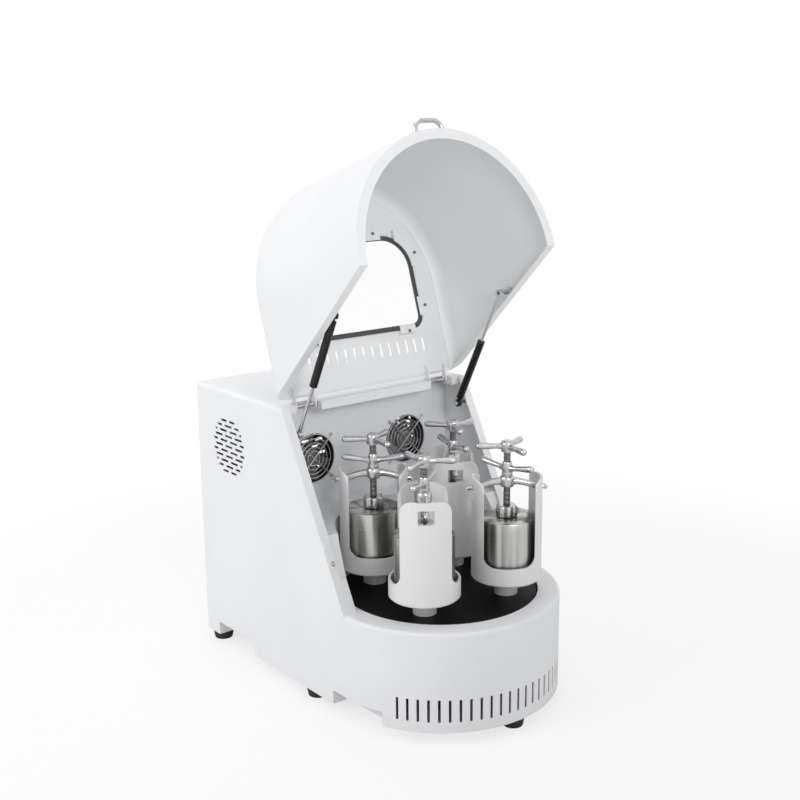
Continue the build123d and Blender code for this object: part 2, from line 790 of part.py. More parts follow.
for name, turn, x, y in stations:
    # planet gear and its shaft, a tooth of it pointing at the sun gear
    with BuildPart() as planet_gear:
        with BuildSketch(level(x, y, gear_z, turn)):
            with BuildLine():
                Polyline(*gear_outline(planet_teeth, 180), close=True)
            make_face()
        extrude(amount=gear_face)
        with BuildSketch(level(x, y, gear_z)):
            Circle(planet_shaft_radius)
        extrude(amount=holder_z - gear_z)
        with BuildSketch(level(x, y, carrier_top + lift_gap)):
            Circle(collar_radius)
        extrude(amount=holder_z - carrier_top - lift_gap)
    save(planet_gear, f"planet_gear_{name}")

    # holder: a cup cut away on two sides, with two hooked ears
    ear_heading = turn + holder_turn_deg
    ear_plane = upright(x, y, ear_heading)
    side_view = upright(x, y, ear_heading + 90)
    rim_z = holder_z + holder_rim
    holder_top = holder_z + holder_height
    with BuildPart() as jar_holder:
        with BuildSketch(level(x, y, holder_z)):
            Circle(holder_radius)
        extrude(amount=holder_height)
        chamfer(jar_holder.edges().group_by(Axis.Z)[0], length=3)
        with BuildSketch(level(x, y, jar_z)):
            Circle(holder_radius - holder_wall)
        extrude(amount=holder_height, mode=Mode.SUBTRACT)
        with BuildSketch(ear_plane.offset(-holder_radius - 1)) as window:
            with Locations((0, rim_z + holder_height / 2)):
                Rectangle(window_cut, holder_height)
            fillet(window.vertices().group_by(Axis.Z)[0], radius=rim_corner)
        extrude(amount=2 * holder_radius + 2, mode=Mode.SUBTRACT)
        ear_half = (holder_radius**2 - (window_cut / 2) ** 2) ** 0.5
        for side in (-1, 1):
            with BuildSketch(side_view.offset(-holder_radius - 1)):
                with BuildLine():
                    RadiusArc(
                        (side * (ear_half - ear_corner), holder_top),
                        (side * ear_half, holder_top - ear_corner),
                        side * ear_corner,
                    )
                    Polyline(
                        (side * ear_half, holder_top - ear_corner),
                        (side * (ear_half + 9), holder_top - ear_corner),
                        (side * (ear_half + 9), holder_top + 1),
                        (side * (ear_half - ear_corner), holder_top + 1),
                        (side * (ear_half - ear_corner), holder_top),
                    )
                make_face()
            extrude(amount=2 * holder_radius + 2, mode=Mode.SUBTRACT)
        with BuildSketch(side_view.offset(-holder_radius - 1)):
            with Locations((0, hook_top_z - hook_height / 2)):
                Rectangle(hook_width, hook_height)
        extrude(amount=2 * holder_radius + 2, mode=Mode.SUBTRACT)
    save(jar_holder, f"jar_holder_{name}")

    # grinding jar: bowl, seal ring and lid
    with BuildPart() as grinding_jar:
        with BuildSketch(level(x, y, jar_z)):
            Circle(jar_radius)
        extrude(amount=jar_height - seal_thick)
        chamfer(grinding_jar.edges().group_by(Axis.Z)[0], length=1.5)
        with BuildSketch(level(x, y, jar_z + jar_wall)):
            Circle(jar_radius - jar_wall)
        extrude(amount=jar_height, mode=Mode.SUBTRACT)
    with BuildPart() as jar_seal:
        with BuildSketch(level(x, y, jar_z + jar_height - seal_thick)):
            Circle(jar_radius - 1)
            Circle(jar_radius - jar_wall, mode=Mode.SUBTRACT)
        extrude(amount=seal_thick)
    with BuildPart() as jar_lid:
        with BuildSketch(level(x, y, jar_z + jar_height)):
            Circle(jar_radius)
        extrude(amount=jar_lid_height)
        chamfer(jar_lid.edges().group_by(Axis.Z)[-1], length=2)
        with BuildSketch(level(x, y, jar_z + jar_height)):
            Circle(jar_radius - jar_wall - 0.3)
        extrude(amount=-8)
    jar_set = Compound(children=[grinding_jar.part, jar_seal.part, jar_lid.part])
    jar_set.label = f"grinding_jar_{name}"
    export_step(jar_set, f"parts/grinding_jar_{name}.step")

    # yoke: a bar with a threaded hub, its ends hooked under the ears
    with BuildPart() as clamp_yoke:
        with BuildSketch(ear_plane.offset(-yoke_width / 2)):
            with BuildLine():
                Polyline(
                    (-yoke_reach, hook_top_z),
                    (-holder_radius + holder_wall + 2, hook_top_z),
                    (-yoke_hub_radius, yoke_hub_top - 3),
                    (yoke_hub_radius, yoke_hub_top - 3),
                    (holder_radius - holder_wall - 2, hook_top_z),
                    (yoke_reach, hook_top_z),
                    (yoke_reach, hook_top_z - yoke_thick - 4),
                    (holder_radius + 2, hook_top_z - yoke_thick - 4),
                    (holder_radius - holder_wall - 2, hook_top_z - yoke_thick),
                    (yoke_hub_radius, yoke_hub_top - 3 - yoke_thick),
                    (-yoke_hub_radius, yoke_hub_top - 3 - yoke_thick),
                    (-holder_radius + holder_wall + 2, hook_top_z - yoke_thick),
                    (-holder_radius - 2, hook_top_z - yoke_thick - 4),
                    (-yoke_reach, hook_top_z - yoke_thick - 4),
                    close=True,
                )
            make_face()
        extrude(amount=yoke_width)
        with BuildSketch(level(x, y, yoke_hub_top)):
            Circle(yoke_hub_radius)
        extrude(amount=-yoke_thick - 8)
        with BuildSketch(level(x, y, yoke_hub_top)):
            Circle(screw_radius + running_gap)
        extrude(amount=-yoke_thick - 8, mode=Mode.SUBTRACT)
    save(clamp_yoke, f"clamp_yoke_{name}")

    # pressure foot: a lobed pad that the screw turns in
    foot_floor = 4.0
    with BuildPart() as pressure_foot:
        with BuildSketch(level(x, y, jar_top_z)):
            Circle(knob_radius - 6)
            with PolarLocations(knob_radius - 6.5, knob_lobes):
                Circle(6.5)
        extrude(amount=foot_lift)
        with BuildSketch(level(x, y, jar_top_z + foot_floor)):
            Circle(screw_radius + running_gap)
        extrude(amount=foot_lift, mode=Mode.SUBTRACT)
    save(pressure_foot, f"pressure_foot_{name}")

    # spindle: screw with a three armed handle, and a two armed lock nut on it
    screw_low = jar_top_z + foot_floor + lift_gap
    with BuildPart() as spindle:
        with BuildSketch(level(x, y, screw_low)):
            Circle(screw_radius)
        extrude(amount=upper_arm_z - screw_low)
        with BuildSketch(level(x, y, upper_arm_z - hub_height / 2)):
            Circle(hub_radius)
        extrude(amount=hub_height)
        for index in range(3):
            heading = arm_headings[name] + 120 * index
            add(arm(outward(x, y, upper_arm_z, heading), arm_reach, hub_radius - 4, arm_radius))
    with BuildPart() as lock_nut:
        with BuildSketch(level(x, y, nut_z)):
            Circle(nut_radius)
        extrude(amount=nut_height)
        for index in range(2):
            heading = nut_headings[name] + 180 * index
            add(
                arm(
                    outward(x, y, nut_z + nut_height / 2, heading, nut_arm_rise_deg),
                    arm_reach + 2,
                    nut_radius - 3,
                    arm_radius,
                )
            )
        with BuildSketch(level(x, y, nut_z)):
            Circle(screw_radius + running_gap)
        extrude(amount=nut_height, mode=Mode.SUBTRACT)
    spindle_set = Compound(children=[spindle.part, lock_nut.part])
    spindle_set.label = f"clamp_spindle_{name}"
    export_step(spindle_set, f"parts/clamp_spindle_{name}.step")

# ================================================================ controls
# Panel tray let into the right side, with the speed drive behind it.
tray_depth = 14.0
tray_margin = 8.0
tray_face_x = half_width - tray_depth
drive_depth = 90.0
knob_hole = 4.0
button_radius = 9.0
button_height = 9.0
button_travel = 3.0
dial_radius = 15.0
dial_height = 11.0
start_spot = (panel_centre_y - 40.0, panel_centre_z - 60.0)
stop_spot = (panel_centre_y + 5.0, panel_centre_z - 60.0)
dial_spot = (panel_centre_y + 45.0, panel_centre_z - 15.0)
display_spot = (panel_centre_y - 18.0, panel_centre_z + 40.0)
display_width = 84.0
display_height = 50.0
stem_depth = 20.0
with BuildPart() as control_panel:
    with BuildSketch(side_plane.offset(tray_face_x)):
        with Locations((panel_centre_y, panel_centre_z)):
            Rectangle(panel_width, panel_height)
    extrude(amount=tray_depth - sheet)
    with BuildSketch(side_plane.offset(inner_half)):
        with Locations((panel_centre_y, panel_centre_z)):
            Rectangle(panel_width + 2 * tray_margin, panel_height + 2 * tray_margin)
            Rectangle(panel_width - 2 * sheet, panel_height - 2 * sheet, mode=Mode.SUBTRACT)
    extrude(amount=-sheet)
    with BuildSketch(side_plane.offset(tray_face_x + sheet)):
        with Locations((panel_centre_y, panel_centre_z)):
            Rectangle(panel_width - 2 * sheet, panel_height - 2 * sheet)
    extrude(amount=tray_depth, mode=Mode.SUBTRACT)
    with BuildSketch(side_plane.offset(tray_face_x)):
        with Locations((panel_centre_y, panel_centre_z)):
            Rectangle(panel_width - 20, panel_height - 20)
    extrude(amount=-drive_depth)
    with BuildSketch(side_plane.offset(tray_face_x + sheet)):
        with Locations(display_spot):
            Rectangle(display_width, display_height)
    extrude(amount=sheet)
    with BuildSketch(side_plane.offset(tray_face_x + sheet)):
        with Locations(start_spot, stop_spot, dial_spot):
            Circle(knob_hole + running_gap)
    extrude(amount=-stem_depth, mode=Mode.SUBTRACT)
save(control_panel, "control_panel")

for button_name, spot in (("start_button", start_spot), ("stop_button", stop_spot)):
    with BuildPart() as button:
        with BuildSketch(side_plane.offset(tray_face_x + sheet + button_travel + lift_gap)):
            with Locations(spot):
                Circle(button_radius)
        extrude(amount=button_height - button_travel)
        chamfer(button.edges().group_by(Axis.X)[-1], length=1)
        with BuildSketch(side_plane.offset(tray_face_x + sheet + button_travel + lift_gap)):
            with Locations(spot):
                Circle(knob_hole)
        extrude(amount=5 - stem_depth)
    save(button, button_name)

with BuildPart() as speed_knob:
    with BuildSketch(side_plane.offset(tray_face_x + sheet + lift_gap)):
        with Locations(dial_spot):
            Circle(dial_radius)
    extrude(amount=dial_height)
    chamfer(speed_knob.edges().group_by(Axis.X)[-1], length=1.5)
    with BuildSketch(side_plane.offset(tray_face_x + sheet + dial_height)):
        with Locations((dial_spot[0], dial_spot[1] + dial_radius * 0.6)):
            Rectangle(2, dial_radius * 0.7)
    extrude(amount=sheet, mode=Mode.SUBTRACT)
    with BuildSketch(side_plane.offset(tray_face_x + sheet + lift_gap)):
        with Locations(dial_spot):
            Circle(knob_hole)
    extrude(amount=2 - stem_depth)
save(speed_knob, "speed_knob")

# Power inlet block in the rear panel, with a rocker switch above the socket.
inlet_proud = 4.0
inlet_depth = 40.0
rocker_width = 20.0
rocker_height = 26.0
rocker_depth = 10.0
rocker_swing_deg = 9.0
rocker_pin = 2.0
rocker_z = inlet_z + 17.0
socket_z = inlet_z - 17.0
socket_width = 24.0
socket_height = 16.0
socket_depth = 18.0
blade_spots = [(-7.0, -2.0), (7.0, -2.0), (0.0, 3.0)]
blade_width = 2.0
blade_height = 5.0
blade_length = 14.0
inlet_face_y = rear_panel_y + inlet_proud
with BuildPart() as power_inlet:
    with BuildSketch(upright(inlet_x, inlet_face_y, 0)):
        with Locations((0, inlet_z)):
            Rectangle(inlet_width + 8, inlet_height + 8)
    extrude(amount=inlet_proud)
    with BuildSketch(upright(inlet_x, rear_panel_y, 0)):
        with Locations((0, inlet_z)):
            Rectangle(inlet_width, inlet_height)
    extrude(amount=inlet_depth)
    with BuildSketch(upright(inlet_x, inlet_face_y, 0)):
        with Locations((0, rocker_z)):
            Rectangle(rocker_width + 1, rocker_height + 1)
    extrude(amount=rocker_depth + inlet_proud + 4, mode=Mode.SUBTRACT)
    with BuildSketch(upright(inlet_x, inlet_face_y, 0)):
        with Locations((0, socket_z)):
            Rectangle(socket_width, socket_height)
    extrude(amount=socket_depth, mode=Mode.SUBTRACT)
    with BuildSketch(upright(inlet_x, inlet_face_y - socket_depth, 0)):
        with Locations([(across, socket_z + up) for across, up in blade_spots]):
            Rectangle(blade_width, blade_height)
    extrude(amount=-blade_length)
    with BuildSketch(side_plane.offset(inlet_x - inlet_width / 2 + 2)):
        with Locations((inlet_face_y - rocker_depth, rocker_z)):
            Circle(rocker_pin + running_gap)
    extrude(amount=inlet_width - 4, mode=Mode.SUBTRACT)
save(power_inlet, "power_inlet")

with BuildPart() as power_switch:
    with BuildSketch(side_plane.offset(inlet_x - rocker_width / 2)):
        with BuildLine():
            Polyline(
                (inlet_face_y - rocker_depth - 4, rocker_z),
                (inlet_face_y - rocker_depth, rocker_z - rocker_height / 2 + 2),
                (inlet_face_y + 1, rocker_z - rocker_height / 2 + 2),
                (inlet_face_y - 2, rocker_z),
                (inlet_face_y + 1, rocker_z + rocker_height / 2 - 2),
                (inlet_face_y - rocker_depth, rocker_z + rocker_height / 2 - 2),
                close=True,
            )
        make_face()
    extrude(amount=rocker_width)
    with BuildSketch(side_plane.offset(inlet_x - inlet_width / 2 + 3)):
        with Locations((inlet_face_y - rocker_depth, rocker_z)):
            Circle(rocker_pin)
    extrude(amount=inlet_width - 6)
save(power_switch, "power_switch")

# ================================================================ hood
# The hood is drawn closed in its own frame, whose origin is the hinge line.
opening = radians(hood_opening_deg)
hood_back = (0, cos(opening), -sin(opening))
hood_up = (0, sin(opening), cos(opening))
hood_level = Plane(origin=(0, hinge_y, hinge_z), x_dir=(1, 0, 0), z_dir=hood_up)
hood_side = Plane(origin=(0, hinge_y, hinge_z), x_dir=hood_back, z_dir=(1, 0, 0))
lid_top = top_z - hinge_z
lid_rim = ring_z + hood_gap - hinge_z
lid_rear = slope_top_y - hood_gap - hinge_y
lid_axis = drum_y - hinge_y


def lid_slope(z):
    """Local Y of the hood's sloping edge at a local height."""
    return slope_y(z + hinge_z) - hinge_y - hood_gap


def hood_block(inset, floor_lift):
    """The hood's filled outer form, inset by a wall, cut off above its rim."""
    span = half_width - inset
    with BuildPart() as block:
        with BuildSketch(hood_level.offset(lid_rim - 60)):
            with Locations((0, (lid_axis + lid_rear + 60) / 2)):
                Rectangle(2 * span, lid_rear + 60 - lid_axis)
            with Locations((0, lid_axis)):
                Circle(span)
        extrude(amount=lid_top - inset - lid_rim + 60)
        top_face = block.faces().sort_by(Axis((0, 0, 0), hood_up))[-1]
        rear_cut = Axis((0, 0, 0), hood_back)
        rounded = top_face.edges().sort_by(rear_cut)[:-1]
        fillet(rounded, radius=hood_round - inset)
        with BuildSketch(hood_side.offset(-cabinet_width)):
            with BuildLine():
                Polyline(
                    (lid_axis - cabinet_width, lid_rim + floor_lift),
                    (lid_slope(lid_rim) - floor_lift * 0.6, lid_rim + floor_lift),
                    (lid_slope(lid_top) - floor_lift * slope_len / slope_rise, lid_top),
                    (lid_slope(lid_top) - floor_lift * slope_len / slope_rise, lid_top + 100),
                    (lid_rear + 200, lid_top + 100),
                    (lid_rear + 200, lid_rim - 200),
                    (lid_axis - cabinet_width, lid_rim - 200),
                    close=True,
                )
            make_face()
        extrude(amount=2 * cabinet_width, mode=Mode.SUBTRACT)
    return block.part


# Window in the hood's top: straight sides, large front corners.
window_rear = drum_y + 79.5 - hinge_y
window_front = drum_y - 108.0 - hinge_y
window_half = 161.0
window_front_round = 65.0
window_rear_round = 22.0
gasket_lap = 7.0
gasket_lip = 3.0
gasket_thick = 3.0
pane_thick = 4.0
lid_under = lid_top - sheet


def window_outline(grow):
    """Window outline, grown all round, drawn into the open line."""
    reach = window_half + grow
    front_round = window_front_round + grow
    rear_round = window_rear_round + grow
    FilletPolyline(
        (-reach, window_front - grow),
        (reach, window_front - grow),
        (reach, window_rear + grow),
        (-reach, window_rear + grow),
        radius=[front_round, front_round, rear_round, rear_round],
        close=True,
    )


lid_slot_count = 15
lid_slot_pitch = 22.45
lid_slot_length = 28.0
lid_slot_width = 5.5
lid_slot_y = drum_y + 122.0 - hinge_y
rib_y = drum_y + 99.5 - hinge_y
rib_width = 6.0
strap_y = drum_y + 176.0 - hinge_y
hood_core = hood_block(sheet, sheet)
with BuildPart() as lid_shell:
    add(hood_block(0, 0))
    add(hood_core, mode=Mode.SUBTRACT)
    # the open mouth, inside the rim flange
    with BuildSketch(hood_level.offset(lid_rim - 10)):
        with Locations((0, (lid_axis + lid_rear + 10) / 2)):
            Rectangle(2 * (half_width - flange_width), lid_rear + 10 - lid_axis)
        with Locations((0, lid_axis)):
            Circle(half_width - flange_width)
    extrude(amount=lid_top - sheet - lid_rim + 10, mode=Mode.SUBTRACT)
    # window and slots
    with BuildSketch(hood_level.offset(lid_under - 1)):
        with BuildLine():
            window_outline(0)
        make_face()
    extrude(amount=sheet + 2, mode=Mode.SUBTRACT)
    with BuildSketch(hood_level.offset(lid_under - 1)):
        with Locations((0, lid_slot_y)):
            with GridLocations(lid_slot_pitch, 1, lid_slot_count, 1):
                Rectangle(lid_slot_width, lid_slot_length)
    extrude(amount=sheet + 2, mode=Mode.SUBTRACT)
    # folded stiffeners across the inside
    with BuildSketch(hood_level.offset(lid_under)):
        with Locations((0, rib_y)):
            Rectangle(2 * (half_width - hood_round), rib_width)
        with Locations((0, strap_y)):
            Rectangle(2 * hinge_slot_half, 16)
    extrude(amount=-sheet)
save(lid_shell, "lid_shell")

with BuildPart() as window_gasket:
    with BuildSketch(hood_level.offset(lid_under)):
        with BuildLine():
            window_outline(gasket_lap)
        make_face()
        with BuildLine():
            window_outline(-gasket_lip)
        make_face(mode=Mode.SUBTRACT)
    extrude(amount=-gasket_thick)
save(window_gasket, "window_gasket")

with BuildPart() as lid_window:
    with BuildSketch(hood_level.offset(lid_under - gasket_thick)):
        with BuildLine():
            window_outline(gasket_lap)
        make_face()
    extrude(amount=-pane_thick)
save(lid_window, "lid_window")

# Clips: bent plates that hold the pane, each with a screw head.
clip_length = 40.0
clip_thick = 2.5
clip_overlap = 9.0
clip_foot = 9.0
clip_gap = 1.0
clip_screw_radius = 3.5
corner_gap = 2.0
corner_across = 48.0
corner_along = 80.0
corner_screw_back = 52.0
pane_under = lid_under - gasket_thick - pane_thick
clip_edge_x = window_half + gasket_lap
clip_spots = [
    (side * x, y, turn)
    for side in (-1, 1)
    for x, y, turn in (
        (clip_edge_x, window_rear - 38.0, 0.0),
        (window_half - 43.0, window_rear + gasket_lap, 90.0),
        (window_half - 88.0, window_front - gasket_lap, -90.0),
    )
]
corner_out_x = clip_edge_x + clip_foot
corner_out_y = window_front - gasket_lap - clip_foot
corner_reach = half_width - hood_round - 1
with BuildPart() as window_clips:
    for x, y, turn in clip_spots:
        away = turn if x > 0 else 180 - turn
        clip_level = Plane(hood_level.location * Location((x, y, 0), (0, 0, away)))
        with BuildSketch(clip_level.offset(pane_under)):
            with Locations(((clip_foot - clip_overlap) / 2, 0)):
                Rectangle(clip_foot + clip_overlap, clip_length)
        extrude(amount=-clip_thick)
        with BuildSketch(clip_level.offset(pane_under)):
            with Locations(((clip_foot + clip_gap) / 2, 0)):
                Rectangle(clip_foot - clip_gap, clip_length)
        extrude(amount=lid_under - pane_under)
        with BuildSketch(clip_level.offset(pane_under - clip_thick)):
            with Locations((clip_foot / 2, 0)):
                Circle(clip_screw_radius)
        extrude(amount=-clip_thick)
    # corner plates at the front: a flat plate over the pane and a foot outside it
    for grow, rise in ((corner_gap, -clip_thick), (gasket_lap + clip_gap, lid_under - pane_under)):
        with BuildSketch(hood_level.offset(pane_under)):
            for side in (-1, 1):
                plate_middle = (
                    side * (corner_out_x - corner_across / 2),
                    corner_out_y + corner_along / 2,
                )
                with Locations(plate_middle):
                    Rectangle(corner_across, corner_along)
            with Locations((0, lid_axis)):
                Circle(corner_reach, mode=Mode.INTERSECT)
            with BuildLine():
                window_outline(grow)
            make_face(mode=Mode.SUBTRACT)
        extrude(amount=rise)
    with BuildSketch(hood_level.offset(pane_under - clip_thick)):
        for side in (-1, 1):
            with Locations((side * (corner_out_x - clip_foot / 2), corner_out_y + corner_screw_back)):
                Circle(clip_screw_radius)
    extrude(amount=-clip_thick)
save(window_clips, "window_clips")

# Handle: a bent bar on the hood's nose.
handle_half = 32.0
handle_proud = 22.0
handle_bar = 4.5
handle_bend = 19.0
handle_z = ring_z + 26.0 - hinge_z
handle_foot_y = (half_width**2 - handle_half**2) ** 0.5 - 1
with BuildPart() as lid_handle:
    with BuildLine(hood_level.offset(handle_z)) as handle_path:
        FilletPolyline(
            (-handle_half, lid_axis - handle_foot_y, 0),
            (-handle_half, lid_axis - half_width - handle_proud, 0),
            (handle_half, lid_axis - half_width - handle_proud, 0),
            (handle_half, lid_axis - handle_foot_y, 0),
            radius=handle_bend,
        )
    with BuildSketch(Plane(origin=handle_path.line @ 0, z_dir=handle_path.line % 0)):
        Circle(handle_bar)
    sweep()
    add(hood_block(0, 0), mode=Mode.SUBTRACT)
save(lid_handle, "lid_handle")

# Hinge arms: cheeked brackets under the hood that reach down to the pins.
cheek_thick = 3.0
cheek_inset = 4.0
eye_radius = 6.0
arm_plate = 3.0
strap_under = lid_under - sheet
arm_front = strap_y - 8
cheek_spots = (lip_half + cheek_inset, hinge_slot_half - cheek_inset - cheek_thick)
with BuildPart() as hinge_arms:
    for side in (-1, 1):
        for low in cheek_spots:
            edge = low if side > 0 else -low - cheek_thick
            with BuildSketch(hood_side.offset(edge)):
                with BuildLine():
                    Polyline(
                        (arm_front, strap_under),
                        (strap_y + 8, strap_under),
                        (0, eye_radius),
                        (0, -eye_radius),
                        (arm_front + 6, strap_under - 12),
                        close=True,
                    )
                make_face()
                Circle(eye_radius)
                Circle(pin_radius + running_gap, mode=Mode.SUBTRACT)
            extrude(amount=cheek_thick)
        with BuildSketch(hood_level.offset(strap_under)):
            with Locations((side * (cheek_spots[0] + cheek_spots[1] + cheek_thick) / 2, strap_y)):
                Rectangle(cheek_spots[1] + cheek_thick - cheek_spots[0], 16)
        extrude(amount=-arm_plate)
save(hinge_arms, "hinge_arms")

# Pins fixed to the cabinet: two for the hinge, two for the gas struts.
strut_side_gap = 29.0
strut_x = inner_half - strut_side_gap
strut_eye_half = 4.0
strut_body_drop = 54.8
strut_body_ahead = 12.4
strut_lid_drop = 214.1
strut_lid_ahead = 16.45
strut_body_y = slope_top_y - strut_body_ahead
strut_body_z = top_z - strut_body_drop
strut_lid_y = slope_y(top_z - strut_lid_drop) - strut_lid_ahead - hinge_y
strut_lid_z = top_z - strut_lid_drop - hinge_z
stud_head = 6.0
stud_gap = 0.5
with BuildPart() as pivot_pins:
    for side in (-1, 1):
        low = side * (lip_half - lug_thick)
        with BuildSketch(side_plane.offset(low)):
            with Locations((hinge_y, hinge_z)):
                Circle(pin_radius)
        extrude(amount=side * (lug_reach - lip_half + lug_thick))
        with BuildSketch(side_plane.offset(side * inner_half)):
            with Locations((strut_body_y, strut_body_z)):
                Circle(pin_radius)
        extrude(amount=-side * (inner_half - strut_x + strut_eye_half + stud_gap))
        with BuildSketch(side_plane.offset(side * inner_half)):
            with Locations((strut_body_y, strut_body_z)):
                Circle(stud_head + 3)
        extrude(amount=-side * 8)
        with BuildSketch(side_plane.offset(side * (strut_x - strut_eye_half - stud_gap))):
            with Locations((strut_body_y, strut_body_z)):
                Circle(stud_head)
        extrude(amount=-side * 3)
save(pivot_pins, "pivot_pins")

with BuildPart() as strut_lid_studs:
    for side in (-1, 1):
        with BuildSketch(hood_side.offset(side * inner_half)):
            with Locations((strut_lid_y, strut_lid_z)):
                Circle(stud_head + 3)
        extrude(amount=-side * 8)
        with BuildSketch(hood_side.offset(side * inner_half)):
            with Locations((strut_lid_y, strut_lid_z)):
                Circle(pin_radius)
        extrude(amount=-side * (inner_half - strut_x - strut_eye_half - stud_gap))
save(strut_lid_studs, "strut_lid_studs")

# Gas struts: drawn at full length between their two pivots.
rod_radius = 3.0
neck_radius = strut_eye_half - 0.2
tube_radius = 7.75
tube_bore = 6.0
tube_length = 146.0
tube_end = 14.0
neck_length = 22.0
piston_overlap = 16.0
tube_cap = 4.0
eye_outer = 8.0
piston_length = 8.0
strut_from = Vector(0, strut_body_y, strut_body_z)
strut_to = Vector(0, hinge_y, hinge_z) + Vector(*hood_back) * strut_lid_y + Vector(*hood_up) * strut_lid_z
strut_length = (strut_to - strut_from).length


def strut_axis(x, low, high):
    """Plane at one strut pivot whose normal runs along the strut."""
    return Plane(origin=(x, low.Y, low.Z), x_dir=(1, 0, 0), z_dir=(high - low).normalized())


def strut_rod(x, low, high):
    """Rod with its eye at the low pivot and its piston in the tube."""
    axis = strut_axis(x, low, high)
    across = Plane(origin=(x - strut_eye_half, low.Y, low.Z), x_dir=(0, 1, 0), z_dir=(1, 0, 0))
    reach = strut_length - tube_end - tube_length + piston_overlap
    with BuildPart() as rod:
        with BuildSketch(axis):
            Circle(rod_radius)
        extrude(amount=reach)
        with BuildSketch(axis):
            Circle(neck_radius)
        extrude(amount=neck_length)
        with BuildSketch(axis.offset(reach - piston_length)):
            Circle(tube_bore - running_gap)
        extrude(amount=piston_length)
        with BuildSketch(across):
            Circle(eye_outer)
        extrude(amount=2 * strut_eye_half)
        with BuildSketch(across):
            Circle(pin_radius + running_gap)
        extrude(amount=2 * strut_eye_half, mode=Mode.SUBTRACT)
    return rod.part


def strut_tube(x, low, high):
    """Tube with its eye at the low pivot and its open end round the rod."""
    axis = strut_axis(x, low, high)
    across = Plane(origin=(x - strut_eye_half, low.Y, low.Z), x_dir=(0, 1, 0), z_dir=(1, 0, 0))
    with BuildPart() as tube:
        with BuildSketch(axis.offset(tube_end)):
            Circle(tube_radius)
        extrude(amount=tube_length)
        with BuildSketch(axis):
            Circle(neck_radius)
        extrude(amount=tube_end)
        with BuildSketch(axis.offset(tube_end + tube_cap)):
            Circle(tube_bore)
        extrude(amount=tube_length - 2 * tube_cap, mode=Mode.SUBTRACT)
        with BuildSketch(axis.offset(tube_end + tube_length)):
            Circle(rod_radius + running_gap)
        extrude(amount=-2 * tube_cap, mode=Mode.SUBTRACT)
        with BuildSketch(across):
            Circle(eye_outer)
        extrude(amount=2 * strut_eye_half)
        with BuildSketch(across):
            Circle(pin_radius + running_gap)
        extrude(amount=2 * strut_eye_half, mode=Mode.SUBTRACT)
    return tube.part


strut_pieces = {
    "strut_rod_left": strut_rod(-strut_x, strut_from, strut_to),
    "strut_tube_left": strut_tube(-strut_x, strut_to, strut_from),
    "strut_tube_right": strut_tube(strut_x, strut_from, strut_to),
    "strut_rod_right": strut_rod(strut_x, strut_to, strut_from),
}
for strut_name, strut_solid in strut_pieces.items():
    with BuildPart() as strut_build:
        add(strut_solid)
    save(strut_build, strut_name)
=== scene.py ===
import json
from math import cos, pi, radians, sin

import bmesh
import bpy
from mathutils import Matrix, Vector


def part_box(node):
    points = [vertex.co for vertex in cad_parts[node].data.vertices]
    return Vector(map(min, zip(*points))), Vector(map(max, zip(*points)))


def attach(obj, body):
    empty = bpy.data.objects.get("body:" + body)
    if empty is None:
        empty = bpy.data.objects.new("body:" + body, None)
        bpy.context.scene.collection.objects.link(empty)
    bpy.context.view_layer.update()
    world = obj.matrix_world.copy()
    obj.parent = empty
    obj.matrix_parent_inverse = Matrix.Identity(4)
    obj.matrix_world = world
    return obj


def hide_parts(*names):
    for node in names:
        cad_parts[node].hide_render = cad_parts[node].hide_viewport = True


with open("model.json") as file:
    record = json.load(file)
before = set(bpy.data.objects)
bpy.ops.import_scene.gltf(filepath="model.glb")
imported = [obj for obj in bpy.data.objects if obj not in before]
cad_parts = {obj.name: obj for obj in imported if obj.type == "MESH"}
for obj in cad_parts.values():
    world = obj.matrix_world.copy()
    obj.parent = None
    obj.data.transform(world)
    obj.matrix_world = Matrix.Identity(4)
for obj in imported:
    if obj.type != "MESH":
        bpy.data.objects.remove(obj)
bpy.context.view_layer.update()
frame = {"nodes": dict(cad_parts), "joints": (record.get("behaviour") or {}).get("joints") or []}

# ---------------------------------------------------------------- camera
# The camera stands off the front left corner, a little above the jars, and
# is rolled half a degree. Its focal length is given in pixels of the frame.
focal_px = 1215.74
frame_px = 800
sensor_mm = 36.0
azimuth = radians(-38.68)
rise = radians(13.22)
roll = radians(-0.59)
away = Vector((sin(azimuth) * cos(rise), -cos(azimuth) * cos(rise), sin(rise)))
side = Vector((cos(azimuth), sin(azimuth), 0))
above = away.cross(side)
rolled_side = side * cos(roll) + above * sin(roll)
rolled_above = above * cos(roll) - side * sin(roll)
camera = bpy.data.objects.new("camera", bpy.data.cameras.new("camera"))
camera.data.lens = focal_px / frame_px * sensor_mm
camera.data.sensor_width = sensor_mm
camera.data.clip_end = 60
camera.matrix_world = Matrix((rolled_side, rolled_above, away)).transposed().to_4x4()
camera.matrix_world.translation = Vector((-1.46455, -1.84796, 1.11812))
bpy.context.collection.objects.link(camera)
bpy.context.scene.camera = camera
bpy.context.scene.view_settings.view_transform = "Standard"


# ---------------------------------------------------------------- studio
# A white floor and sky, a large soft lamp at the left, one overhead and a
# narrow one into the chamber. Every finish is built through the class below.
class Amount:
    """A socket of a finish, on which sums are written as expressions."""

    def __init__(self, finish, socket):
        self.finish = finish
        self.socket = socket

    def sum(self, operation, first, second):
        return self.finish.node("ShaderNodeMath", {"operation": operation}, {0: first, 1: second})

    def __add__(self, other):
        return self.sum("ADD", self, other)

    def __radd__(self, other):
        return self.sum("ADD", other, self)

    def __mul__(self, other):
        return self.sum("MULTIPLY", self, other)

    def __rmul__(self, other):
        return self.sum("MULTIPLY", other, self)

    def between(self, low, high):
        """0 below the low value, 1 above the high one, smooth in between."""
        settings = {"interpolation_type": "SMOOTHSTEP"}
        return self.finish.node("ShaderNodeMapRange", settings, {0: self, 1: low, 2: high})


